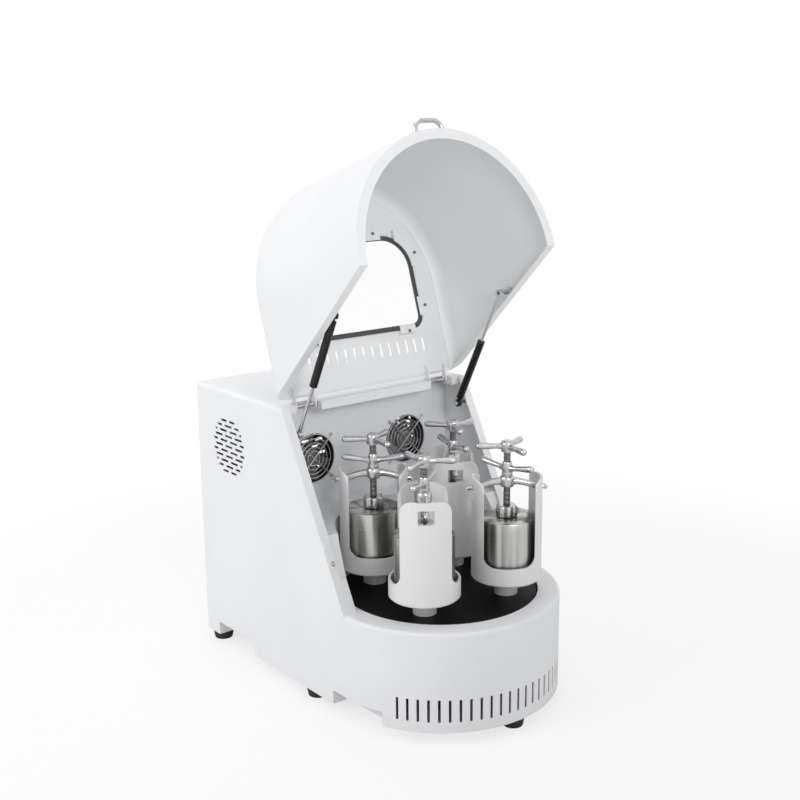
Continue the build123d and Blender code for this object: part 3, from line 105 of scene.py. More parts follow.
class Finish:
    """A node tree. Each of its nodes is added by the method `node`."""

    def __init__(self, name, tree=None):
        if tree is None:
            self.material = bpy.data.materials.new(name)
            self.material.use_nodes = True
            tree = self.material.node_tree
        tree.nodes.clear()
        self.tree = tree

    def node(self, kind, settings=None, sockets=None, out=0):
        made = self.tree.nodes.new(kind)
        for key, value in (settings or {}).items():
            setattr(made, key, value)
        for key, value in (sockets or {}).items():
            if isinstance(value, Amount):
                self.tree.links.new(value.socket, made.inputs[key])
            else:
                made.inputs[key].default_value = value
        return Amount(self, made.outputs[out]) if made.outputs else made

    def place(self, stretch=(1, 1, 1)):
        """Object coordinates in metres, stretched along the axes."""
        spot = self.node("ShaderNodeTexCoord", out="Object")
        return self.node("ShaderNodeVectorMath", {"operation": "MULTIPLY"}, {0: spot, 1: stretch})

    def noise(self, scale, detail=2.0, stretch=(1, 1, 1)):
        sockets = {"Vector": self.place(stretch), "Scale": scale, "Detail": detail}
        return self.node("ShaderNodeTexNoise", None, sockets)

    def tint(self, mask, first, second):
        """Colour that goes from the first to the second with a mask."""
        sockets = {0: mask, 6: (*first, 1), 7: (*second, 1)}
        return self.node("ShaderNodeMix", {"data_type": "RGBA"}, sockets, out=2)

    def bump(self, height, depth, strength=1.0):
        sockets = {"Height": height, "Distance": depth, "Strength": strength}
        return self.node("ShaderNodeBump", None, sockets)

    def surface(self, **sockets):
        """The surface shader; a socket's name has _ in place of spaces."""
        named = {key.replace("_", " "): value for key, value in sockets.items()}
        for key, value in named.items():
            if isinstance(value, tuple) and len(value) == 3:
                named[key] = (*value, 1)
        shader = self.node("ShaderNodeBsdfPrincipled", None, named)
        self.node("ShaderNodeOutputMaterial", None, {0: shader})
        return self.material


ambient = (0.684, 0.691, 0.701)
world = bpy.data.worlds.new("studio")
bpy.context.scene.world = world
world.use_nodes = True
sky = Finish("studio", world.node_tree)
seen = sky.node("ShaderNodeLightPath", out="Is Camera Ray")
mirrored = sky.node("ShaderNodeLightPath", out="Is Glossy Ray")
through = sky.node("ShaderNodeLightPath", out="Is Transmission Ray")
white_where = (seen + mirrored + through).between(0, 1)
backdrop = sky.node("ShaderNodeBackground", None, {0: sky.tint(white_where, ambient, (1, 1, 1))})
sky.node("ShaderNodeOutputWorld", None, {0: backdrop})

floor_half = 12.0
floor_grey = 0.92
shadow_reach = (0.9, 1.7)
shadow_share = 0.28
floor_mesh = bpy.data.meshes.new("floor")
corners = [(-1, -1), (1, -1), (1, 1), (-1, 1)]
floor_mesh.from_pydata([(x * floor_half, y * floor_half, 0) for x, y in corners], [], [(0, 1, 2, 3)])
floor = bpy.data.objects.new("floor", floor_mesh)
bpy.context.collection.objects.link(floor)
sweep = Finish("floor")
lit = sweep.node("ShaderNodeBsdfDiffuse", None, {0: (floor_grey, floor_grey, floor_grey, 1)})
glow = sweep.node("ShaderNodeEmission", None, {0: (1, 1, 1, 1), 1: 1.0})
distance = sweep.node("ShaderNodeVectorMath", {"operation": "LENGTH"}, {0: sweep.place()}, out="Value")
direct = sweep.node("ShaderNodeLightPath", out="Is Camera Ray")
fade = direct * (1 - shadow_share + shadow_share * distance.between(*shadow_reach))
shade = sweep.node("ShaderNodeMixShader", None, {0: fade, 1: lit, 2: glow})
sweep.node("ShaderNodeOutputMaterial", None, {0: shade})
floor_mesh.materials.append(sweep.material)

lamps = [
    ("left lamp", (-2.8, 0.9, 2.2), 2.2, 31.0, 180, (0, 0, 0.6)),
    ("top lamp", (0.2, 0.6, 3.2), 2.0, 13.0, 180, (0, 0, 0.5)),
    ("chamber lamp", (-0.6, -2.2, 1.5), 0.8, 0.95, 36, (0.05, 0.1, 0.72)),
]
for name, spot, size, power, spread, target in lamps:
    lamp = bpy.data.objects.new(name, bpy.data.lights.new(name, "AREA"))
    lamp.data.shape = "DISK"
    lamp.data.size = size
    lamp.data.energy = power
    lamp.data.spread = radians(spread)
    lamp.location = spot
    lamp.rotation_euler = (Vector(target) - Vector(spot)).to_track_quat("-Z", "Y").to_euler()
    bpy.context.collection.objects.link(lamp)


# ---------------------------------------------------------------- feet and base pan
# Five moulded rubber feet, each held by a screw up through the pan. The pan
# is a folded steel tray with the kick recesses pressed into it.
joint_at = {joint["name"]: Vector(joint.get("pos_m", (0, 0, 0))) for joint in frame["joints"]}


def finished(node, body, material, edge=0.0006, sharp=32.0):
    """A copy of a solid with merged seams, softened edges and its finish."""
    mesh = frame["nodes"][node].data.copy()
    shape = bmesh.new()
    shape.from_mesh(mesh)
    bmesh.ops.remove_doubles(shape, verts=shape.verts, dist=2e-6)
    bmesh.ops.dissolve_limit(shape, angle_limit=radians(0.5), verts=shape.verts, edges=shape.edges)
    for face in shape.faces:
        face.smooth = True
    shape.to_mesh(mesh)
    shape.free()
    mesh.materials.clear()
    mesh.materials.append(material)
    piece = bpy.data.objects.new(f"{node}_finished", mesh)
    bpy.context.collection.objects.link(piece)
    soften = piece.modifiers.new("edges", "BEVEL")
    soften.width = edge
    soften.segments = 2
    soften.limit_method = "ANGLE"
    soften.angle_limit = radians(sharp)
    piece.modifiers.new("shading", "WEIGHTED_NORMAL").keep_sharp = True
    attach(piece, body)
    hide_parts(node)
    return piece


rubber = Finish("moulded rubber")
grain = rubber.noise(900, 3)
moulded_rubber = rubber.surface(
    Base_Color=rubber.tint(rubber.noise(40), (0.012, 0.012, 0.013), (0.026, 0.026, 0.027)),
    Roughness=0.62 + 0.2 * grain,
    Normal=rubber.bump(grain, 0.0003, 0.5),
)
coat = Finish("white powder coat")
peel = coat.noise(520, 2)
cloud = coat.noise(5, 3)
white_coat = coat.surface(
    Base_Color=coat.tint(cloud.between(0.3, 0.7), (0.80, 0.805, 0.815), (0.83, 0.835, 0.84)),
    Roughness=0.36 + 0.12 * cloud,
    Normal=coat.bump(peel, 0.00025, 0.25),
)
finished("rubber_feet", "cabinet", moulded_rubber, 0.0015)
finished("base_pan", "cabinet", white_coat)

# ---------------------------------------------------------------- cabinet
# Folded two millimetre sheet, powder coated white, with the cooling slots
# punched in its sides. A soft bend runs along each top edge, a bolt and a tab
# sit on the left flange of the mouth, and the rear panel screws on behind.
finished("cabinet_shell", "cabinet", white_coat, 0.0007)
finished("rear_panel", "cabinet", white_coat)


def lathe(profile, axis_at, axis=(0, 0, 1), turns=48):
    """Points of a closed round solid: (radius, height) pairs spun about an axis."""
    aim = Vector(axis).normalized().to_track_quat("Z", "Y").to_matrix()
    points = []
    faces = []
    for radius, height in profile:
        for turn in range(turns):
            around = 2 * pi * turn / turns
            local = Vector((radius * cos(around), radius * sin(around), height))
            points.append(Vector(axis_at) + aim @ local)
    for row in range(len(profile) - 1):
        for turn in range(turns):
            after = (turn + 1) % turns
            low = row * turns
            high = low + turns
            faces.append((low + turn, low + after, high + after, high + turn))
    faces.append(tuple(range(turns - 1, -1, -1)))
    last = (len(profile) - 1) * turns
    faces.append(tuple(range(last, last + turns)))
    return points, faces


def built(name, body, material, solids, crease=28.0, stands_for=()):
    """One piece from several closed solids, shaded smooth up to a crease."""
    points = []
    faces = []
    for solid_points, solid_faces in solids:
        start = len(points)
        points += [tuple(point) for point in solid_points]
        faces += [tuple(corner + start for corner in face) for face in solid_faces]
    mesh = bpy.data.meshes.new(name)
    mesh.from_pydata(points, [], faces)
    shape = bmesh.new()
    shape.from_mesh(mesh)
    bmesh.ops.remove_doubles(shape, verts=shape.verts, dist=1e-6)
    bmesh.ops.recalc_face_normals(shape, faces=shape.faces)
    for face in shape.faces:
        face.smooth = True
    for edge in shape.edges:
        if len(edge.link_faces) == 2 and edge.calc_face_angle(0) > radians(crease):
            edge.smooth = False
    shape.to_mesh(mesh)
    shape.free()
    mesh.materials.append(material)
    piece = bpy.data.objects.new(name, mesh)
    bpy.context.collection.objects.link(piece)
    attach(piece, body)
    if stands_for:
        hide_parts(*stands_for)
    return piece


steel = Finish("plated steel")
smear = steel.noise(90, 3)
plated_steel = steel.surface(
    Base_Color=steel.tint(smear, (0.46, 0.46, 0.47), (0.66, 0.66, 0.665)),
    Metallic=1.0,
    Roughness=0.14 + 0.16 * smear,
    Normal=steel.bump(steel.noise(400, 2), 0.0001, 0.3),
)


class Pattern:
    """A Geometry Nodes tree with named sizes, baked to one plain mesh piece."""

    def __init__(self, name, source=None, **sizes):
        self.tree = bpy.data.node_groups.new(name, "GeometryNodeTree")
        self.tree.interface.new_socket("Geometry", in_out="INPUT", socket_type="NodeSocketGeometry")
        self.sizes = {}
        for key, value in sizes.items():
            kind = "NodeSocketInt" if isinstance(value, int) else "NodeSocketFloat"
            socket = self.tree.interface.new_socket(key, in_out="INPUT", socket_type=kind)
            self.sizes[socket.identifier] = value
        self.tree.interface.new_socket("Geometry", in_out="OUTPUT", socket_type="NodeSocketGeometry")
        self.entry = self.tree.nodes.new("NodeGroupInput")
        self.source = source or bpy.data.meshes.new(name)
        self.name = name

    def given(self, key):
        return self.entry.outputs[key]

    def node(self, kind, settings=None, sockets=None, out=0):
        made = self.tree.nodes.new(kind)
        for key, value in (settings or {}).items():
            setattr(made, key, value)
        for key, value in (sockets or {}).items():
            if isinstance(value, bpy.types.NodeSocket):
                self.tree.links.new(value, made.inputs[key])
            else:
                made.inputs[key].default_value = value
        return made.outputs[out]

    def bake(self, geometry, material, body):
        real = self.node("GeometryNodeRealizeInstances", None, {0: geometry})
        painted = self.node("GeometryNodeSetMaterial", None, {"Geometry": real, "Material": material})
        smooth = self.node("GeometryNodeSetShadeSmooth", None, {0: painted})
        leave = self.tree.nodes.new("NodeGroupOutput")
        self.tree.links.new(smooth, leave.inputs[0])
        holder = bpy.data.objects.new(self.name, self.source)
        bpy.context.collection.objects.link(holder)
        modifier = holder.modifiers.new("pattern", "NODES")
        modifier.node_group = self.tree
        for identifier, value in self.sizes.items():
            modifier[identifier] = value
        evaluated = holder.evaluated_get(bpy.context.evaluated_depsgraph_get())
        mesh = bpy.data.meshes.new_from_object(evaluated)
        holder.modifiers.clear()
        holder.data = mesh
        for edge in mesh.edges:
            edge.use_edge_sharp = False
        mesh.set_sharp_from_angle(angle=radians(35))
        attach(holder, body)
        return holder


def screws(name, body, spots, radius, material=plated_steel):
    """Pan head screws with a hexagon socket, one at each (place, facing) pair."""
    head_depth = radius * 0.7
    cap_radius = radius * 0.72
    cap_depth = radius * 0.22
    cap_rise = radius * 0.34
    socket_radius = radius * 0.4
    socket_rise = radius * 0.62
    marks = bpy.data.meshes.new(name)
    marks.from_pydata([tuple(place) for place, _ in spots], [], [])
    facings = marks.attributes.new("facing", "FLOAT_VECTOR", "POINT")
    for index, (_, facing) in enumerate(spots):
        facings.data[index].vector = tuple(facing)
    pattern = Pattern(name, marks, Radius=radius, Sides=24)
    head = pattern.node(
        "GeometryNodeMeshCylinder",
        {"fill_type": "NGON"},
        {"Vertices": pattern.given("Sides"), "Radius": pattern.given("Radius"), "Depth": head_depth},
        out="Mesh",
    )
    cap = pattern.node(
        "GeometryNodeMeshCone",
        {"fill_type": "NGON"},
        {
            "Vertices": pattern.given("Sides"),
            "Radius Bottom": pattern.given("Radius"),
            "Radius Top": cap_radius,
            "Depth": cap_depth,
        },
        out="Mesh",
    )
    raised = pattern.node("GeometryNodeTransform", None, {0: cap, "Translation": (0, 0, cap_rise)})
    hexagon = pattern.node(
        "GeometryNodeMeshCylinder",
        {"fill_type": "NGON"},
        {"Vertices": 6, "Radius": socket_radius, "Depth": radius},
        out="Mesh",
    )
    socket = pattern.node("GeometryNodeTransform", None, {0: hexagon, "Translation": (0, 0, socket_rise)})
    whole = pattern.node("GeometryNodeJoinGeometry", None, {0: head})
    pattern.tree.links.new(raised, whole.node.inputs[0])
    sockets = {"Mesh 1": whole, "Mesh 2": socket}
    cut = pattern.node("GeometryNodeMeshBoolean", {"operation": "DIFFERENCE"}, sockets)
    settings = {"data_type": "FLOAT_VECTOR"}
    facing = pattern.node("GeometryNodeInputNamedAttribute", settings, {"Name": "facing"})
    aim = pattern.node("FunctionNodeAlignRotationToVector", {"axis": "Z"}, {"Vector": facing})
    spread = pattern.node(
        "GeometryNodeInstanceOnPoints",
        None,
        {"Points": pattern.given("Geometry"), "Instance": cut, "Rotation": aim},
    )
    return pattern.bake(spread, material, body)


def slab(middle, across, upward, width, height, thick):
    """Points of a closed flat block that faces away from a panel."""
    outward = across.cross(upward)
    points = []
    for depth in (-thick / 2, thick / 2):
        for right, rise_by in ((-1, -1), (1, -1), (1, 1), (-1, 1)):
            reach = across * (right * width / 2) + upward * (rise_by * height / 2)
            points.append(middle + reach + outward * depth)
    faces = [(3, 2, 1, 0), (4, 5, 6, 7), (0, 1, 5, 4), (1, 2, 6, 5), (2, 3, 7, 6), (3, 0, 4, 7)]
    return points, faces


# Top bends: narrow flats laid round the fold that joins the top to each side.
_, shell_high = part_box("cabinet_shell")
bend_front = 0.053
bend_rear = 0.3715
bend_radius = 0.009
bend_sunk = 0.0002
bend_tilts = (37.0, 41.0, 45.0, 49.0, 53.0)
flat_width = 0.0008
flat_thick = 0.0003
bend_flats = []
for across in (-1, 1):
    for tilt in bend_tilts:
        lean = radians(tilt)
        outward = Vector((across * cos(lean), 0, sin(lean)))
        bend_centre = Vector((across * (shell_high.x - bend_radius), 0, shell_high.z - bend_radius))
        middle = bend_centre + outward * (bend_radius - bend_sunk)
        middle.y = (bend_front + bend_rear) / 2
        along = Vector((0, -across, 0))
        beside = along.cross(outward) * -1
        bend_flats.append(slab(middle, along, beside, bend_rear - bend_front, flat_width, flat_thick))
built("top_seams", "cabinet", white_coat, bend_flats)

# Left flange of the mouth: a bolt sunk nearly flush, and a folded tab.
flange_face = Vector((0, -0.8857, 0.4643))
flange_up = Vector((0, 0.4643, 0.8857))
bolt_radius = 0.0052
bolt_sunk = 0.0021
bolt_spot = Vector((-0.224, -0.0925, 0.300)) - flange_face * bolt_sunk
screws("mouth_bolt", "cabinet", [(bolt_spot, flange_face)], bolt_radius)
tab_spot = Vector((-0.228, -0.0768, 0.331))
tab_width = 0.010
tab_height = 0.012
tab_thick = 0.004
tab = slab(tab_spot, Vector((1, 0, 0)), flange_up, tab_width, tab_height, tab_thick)
built("mouth_tab", "cabinet", white_coat, [tab])

# Rear panel screws: four up each edge.
rear_low, rear_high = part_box("rear_panel")
panel_screw_inset = 0.012
panel_screw_proud = 0.0008
panel_screw_radius = 0.0035
panel_screws = []
for across in (-1, 1):
    for share in (0.03, 0.35, 0.67, 0.97):
        height = rear_low.z + (rear_high.z - rear_low.z) * share
        edge_x = across * (rear_high.x - panel_screw_inset)
        panel_screws.append(((edge_x, rear_high.y + panel_screw_proud, height), (0, 1, 0)))
screws("rear_panel_screws", "cabinet", panel_screws, panel_screw_radius)

# ---------------------------------------------------------------- drum nose
# The nose is one sheet rolled to a half circle under a flat ring whose outer
# edge is rounded. A row of cooling slots is punched round it, low down.
finished("drum_shell", "cabinet", white_coat, 0.0007)

# ---------------------------------------------------------------- chamber
# The liner is a welded insert of thinner sheet: back wall, shelf and tub.
# Painted light: the liner's white is raised to stand in for the light that falls into the chamber from
# above the front.
inner_coat = Finish("liner coat with painted light")
inner_peel = inner_coat.noise(520, 2)
inner_cloud = inner_coat.noise(6, 3)
liner_coat_painted_lighter = inner_coat.surface(
    Base_Color=inner_coat.tint(inner_cloud, (0.80, 0.815, 0.83), (0.84, 0.85, 0.86)),
    Roughness=0.38 + 0.12 * inner_cloud,
    Normal=inner_coat.bump(inner_peel, 0.00025, 0.25),
)
finished("chamber_liner", "cabinet", liner_coat_painted_lighter, 0.0007)

# ---------------------------------------------------------------- fans
# Black moulded frames and hubs behind the back wall and the side slots, with
# bright wire guards in the chamber, each held by four long screws.
plastic = Finish("black moulding")
speck = plastic.noise(700, 2)
black_moulding = plastic.surface(
    Base_Color=plastic.tint(plastic.noise(30), (0.010, 0.010, 0.011), (0.022, 0.022, 0.023)),
    Roughness=0.38 + 0.15 * speck,
    Normal=plastic.bump(speck, 0.0002, 0.4),
)
blade = Finish("fan blade grey")
blade_grey = blade.surface(
    Base_Color=blade.tint(blade.noise(60), (0.16, 0.165, 0.17), (0.24, 0.245, 0.25)),
    Roughness=0.32 + 0.2 * blade.noise(200),
)
finished("fan_housings", "cabinet", black_moulding, 0.0005)
finished("fan_rotor_left", "fan_left", blade_grey, 0.0004)
finished("fan_rotor_right", "fan_right", blade_grey, 0.0004)
finished("side_fan_rotor", "fan_side", blade_grey, 0.0004)
guard_low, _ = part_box("fan_guards")
wire = 0.0011
guard_outer = 0.050
guard_pitch = 0.0088
guard_count = 5
guard_reach = 0.0655
guard_square = 0.044
wire_set_in = 0.0018
screw_set_in = 0.0022
guard_screw_radius = 0.0036
fan_spots = [joint_at["fan_left_spin"], joint_at["fan_right_spin"]]
guard = Pattern("fan_guard_wires", Outer=guard_outer, Pitch=guard_pitch, Wire=wire, Rings=guard_count)
ring_points = guard.node("GeometryNodePoints", None, {"Count": guard.given("Rings")})
ring_index = guard.node("GeometryNodeInputIndex")
step = guard.node("ShaderNodeMath", {"operation": "MULTIPLY"}, {0: ring_index, 1: guard.given("Pitch")})
ring_size = guard.node("ShaderNodeMath", {"operation": "SUBTRACT"}, {0: guard.given("Outer"), 1: step})
ring_scale = guard.node("ShaderNodeCombineXYZ", None, {0: ring_size, 1: ring_size, 2: ring_size})
unit_ring = guard.node("GeometryNodeCurvePrimitiveCircle", None, {"Resolution": 56, "Radius": 1.0})
rings = guard.node(
    "GeometryNodeInstanceOnPoints",
    None,
    {"Points": ring_points, "Instance": unit_ring, "Scale": ring_scale},
)
ring_curves = guard.node("GeometryNodeRealizeInstances", None, {0: rings})
wire_profile = guard.node("GeometryNodeCurvePrimitiveCircle", None, {"Resolution": 8, "Radius": wire})
sockets = {"Curve": ring_curves, "Profile Curve": wire_profile}
ring_wires = guard.node("GeometryNodeCurveToMesh", None, sockets)
stay_curve = guard.node(
    "GeometryNodeCurvePrimitiveLine",
    None,
    {"Start": (-guard_reach, 0, -2 * wire), "End": (guard_reach, 0, -2 * wire)},
)
stay = guard.node(
    "GeometryNodeCurveToMesh",
    None,
    {"Curve": stay_curve, "Profile Curve": wire_profile, "Fill Caps": True},
)
parts = guard.node("GeometryNodeJoinGeometry", None, {0: ring_wires})
for heading in (45, 135):
    crossed = guard.node("GeometryNodeTransform", None, {0: stay, "Rotation": (0, 0, radians(heading))})
    guard.tree.links.new(crossed, parts.node.inputs[0])
both = guard.node("GeometryNodeJoinGeometry")
wire_plane = guard_low.y + wire_set_in
for spot in fan_spots:
    sockets = {0: parts, "Translation": (spot.x, wire_plane, spot.z), "Rotation": (radians(-90), 0, 0)}
    moved = guard.node("GeometryNodeTransform", None, sockets)
    guard.tree.links.new(moved, both.node.inputs[0])
guard_wires = guard.bake(both, plated_steel, "cabinet")
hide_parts("fan_guards")
screw_plane = guard_low.y + screw_set_in
guard_screws = [
    ((spot.x + across * guard_square, screw_plane, spot.z + upward * guard_square), (0, -1, 0))
    for spot in fan_spots
    for across in (-1, 1)
    for upward in (-1, 1)
]
screws("fan_guard_screws", "cabinet", guard_screws, guard_screw_radius)

# ---------------------------------------------------------------- drive
# Under the turntable: a grey plate frame on posts, the fixed sun gear on its
# bearing housing, the main shaft's pulley, the belt and the finned motor.
grey = Finish("grey enamel")
grey_enamel = grey.surface(
    Base_Color=grey.tint(grey.noise(20), (0.30, 0.31, 0.32), (0.38, 0.39, 0.40)),
    Roughness=0.4 + 0.15 * grey.noise(80),
    Normal=grey.bump(grey.noise(300), 0.0003, 0.3),
)
iron = Finish("machined iron")
tool_lines = iron.noise(1, 2, (900, 900, 40))
machined_iron = iron.surface(
    Base_Color=iron.tint(tool_lines, (0.20, 0.20, 0.205), (0.36, 0.36, 0.37)),
    Metallic=1.0,
    Roughness=0.34 + 0.2 * tool_lines,
    Normal=iron.bump(tool_lines, 0.0001, 0.5),
)
blue = Finish("motor paint")
motor_paint = blue.surface(
    Base_Color=blue.tint(blue.noise(18), (0.045, 0.07, 0.12), (0.06, 0.09, 0.15)),
    Roughness=0.35 + 0.15 * blue.noise(150),
    Normal=blue.bump(blue.noise(260), 0.0003, 0.4),
)
finished("main_frame", "cabinet", grey_enamel)
finished("sun_gear", "cabinet", machined_iron, 0.0004)
finished("main_shaft", "turntable", machined_iron, 0.0005)
finished("motor_pulley", "motor_rotor", machined_iron, 0.0005)
finished("drive_belt", "cabinet", moulded_rubber, 0.0004)
finished("motor", "cabinet", motor_paint, 0.0006)

# Turntable: a steel disc, blackened and oiled, bored for the planet shafts.
black = Finish("blackened steel")
wear = black.noise(14, 4)
blackened = black.surface(
    Base_Color=black.tint(wear.between(0.45, 0.7), (0.0015, 0.0015, 0.002), (0.0045, 0.0045, 0.005)),
    Roughness=0.42 + 0.25 * wear,
    Specular_IOR_Level=0.14,
    Normal=black.bump(black.noise(350, 3), 0.0002, 0.35),
)
finished("turntable", "turntable", blackened, 0.0008)

# ---------------------------------------------------------------- stations
# Four alike. Each has a planet gear, a white cup that holds the jar, the jar
# itself, and the yoke, screw and lock nut that clamp it down.
ground = Finish("ground steel")
ground_lines = ground.noise(1, 2, (60, 60, 1400))
ground_steel = ground.surface(
    Base_Color=ground.tint(ground_lines, (0.80, 0.795, 0.785), (0.90, 0.895, 0.885)),
    Metallic=0.35,
    Roughness=0.26 + 0.16 * ground_lines,
    Normal=ground.bump(ground_lines, 0.00006, 0.6),
)
turned = Finish("turned stainless")
tool_marks = turned.noise(1, 3, (35, 35, 2200))
hand_marks = turned.noise(22, 4)
# Painted reflections: slow noise stretched along the axis paints dark and bright vertical bands into the
# base colour, standing in for reflected surroundings. The fine tool marks mixed in are real.
painted_reflection_bands = turned.noise(1, 2, (34, 34, 1.2)).between(0.40, 0.60)
tool_marks_and_painted_reflections = painted_reflection_bands * 0.8 + tool_marks * 0.2
# The base colour runs from near black to bright with the painted reflection bands.
turned_stainless = turned.surface(
    Base_Color=turned.tint(tool_marks_and_painted_reflections, (0.12, 0.117, 0.107), (0.68, 0.67, 0.635)),
    Metallic=1.0,
    Roughness=0.20 + 0.14 * tool_marks + 0.10 * hand_marks,
    Normal=turned.bump(tool_marks, 0.00008, 0.8),
)
thread = Finish("oiled thread")
dark_thread = thread.surface(
    Base_Color=thread.tint(thread.noise(200), (0.16, 0.155, 0.15), (0.32, 0.31, 0.30)),
    Metallic=1.0,
    Roughness=0.3 + 0.2 * thread.noise(300),
)
white_cup = Finish("cup powder coat")
cup_peel = white_cup.noise(600, 2)
cup_coat = white_cup.surface(
    Base_Color=white_cup.tint(white_cup.noise(9, 3), (0.735, 0.73, 0.728), (0.775, 0.77, 0.768)),
    Roughness=0.34 + 0.14 * white_cup.noise(12, 3),
    Normal=white_cup.bump(cup_peel, 0.00025, 0.3),
)
carrier_turn = 37.25
holder_turn = 16.0
station_names = ("rear_right", "rear_left", "front_left", "front_right")
arm_headings = {"rear_right": 4.0, "rear_left": 24.0, "front_left": 84.0, "front_right": 20.0}
nut_headings = {"rear_right": 77.0, "rear_left": 141.0, "front_left": 30.0, "front_right": 100.0}
bar_root = 0.0050
bar_tip = 0.0064
bar_reach = 0.060
nut_reach = 0.062
nut_rise = 8.0
screw_radius = 0.007
thread_pitch = 0.003
thread_depth = 0.0012
jar_seam_height = 0.088
jar_groove = 0.0004
yoke_bore = 0.0072
yoke_route = (
    (0.009, -0.010),
    (0.020, -0.0105),
    (0.034, -0.0135),
    (0.048, -0.0185),
    (0.058, -0.0215),
    (0.066, -0.0225),
    (0.072, -0.0215),
    (0.0752, -0.0245),
    (0.0735, -0.0275),
)
yoke_radii = (0.0080, 0.0070, 0.0064, 0.0060, 0.0058, 0.0055, 0.0050, 0.0040, 0.0026)
foot_steps = 96
foot_lobes = 6
lobe_out = 0.0212
lobe_in = 0.0168
foot_bore = 0.0072
foot_bore_depth = 0.006
bore_share = 0.36


def bar(start, heading, rise_deg, length, root=bar_root, tip=bar_tip):
    """A turned handle bar with a thicker root, a slight taper and a round end."""
    flat = cos(radians(rise_deg))
    along = Vector((flat * cos(radians(heading)), flat * sin(radians(heading)), sin(radians(rise_deg))))
    profile = [(root * 1.5, 0.006), (root * 1.25, 0.012), (root, 0.018), (root, 0.024)]
    profile += [(tip, length - 0.012), (tip, length - tip)]
    for step in (1, 2, 3, 4):
        bend = radians(step * 21)
        profile.append((tip * cos(bend), length - tip + tip * sin(bend)))
    return lathe(profile, start, along, 20)


def tube_along(points, radii, turns=16):
    """Points of a closed round bar that follows a path, with a radius at each point."""
    ring_points = []
    faces = []
    reference = Vector((0, 0, 1))
    for index, point in enumerate(points):
        before = points[max(index - 1, 0)]
        after = points[min(index + 1, len(points) - 1)]
        ahead = (after - before).normalized()
        across = ahead.cross(reference).normalized()
        upward = across.cross(ahead)
        for turn in range(turns):
            around = 2 * pi * turn / turns
            ring_points.append(point + (across * cos(around) + upward * sin(around)) * radii[index])
    for row in range(len(points) - 1):
        for turn in range(turns):
            after = (turn + 1) % turns
            low = row * turns
            faces.append((low + turn, low + after, low + turns + after, low + turns + turn))
    faces.append(tuple(range(turns - 1, -1, -1)))
    last = (len(points) - 1) * turns
    faces.append(tuple(range(last, last + turns)))
    return ring_points, faces


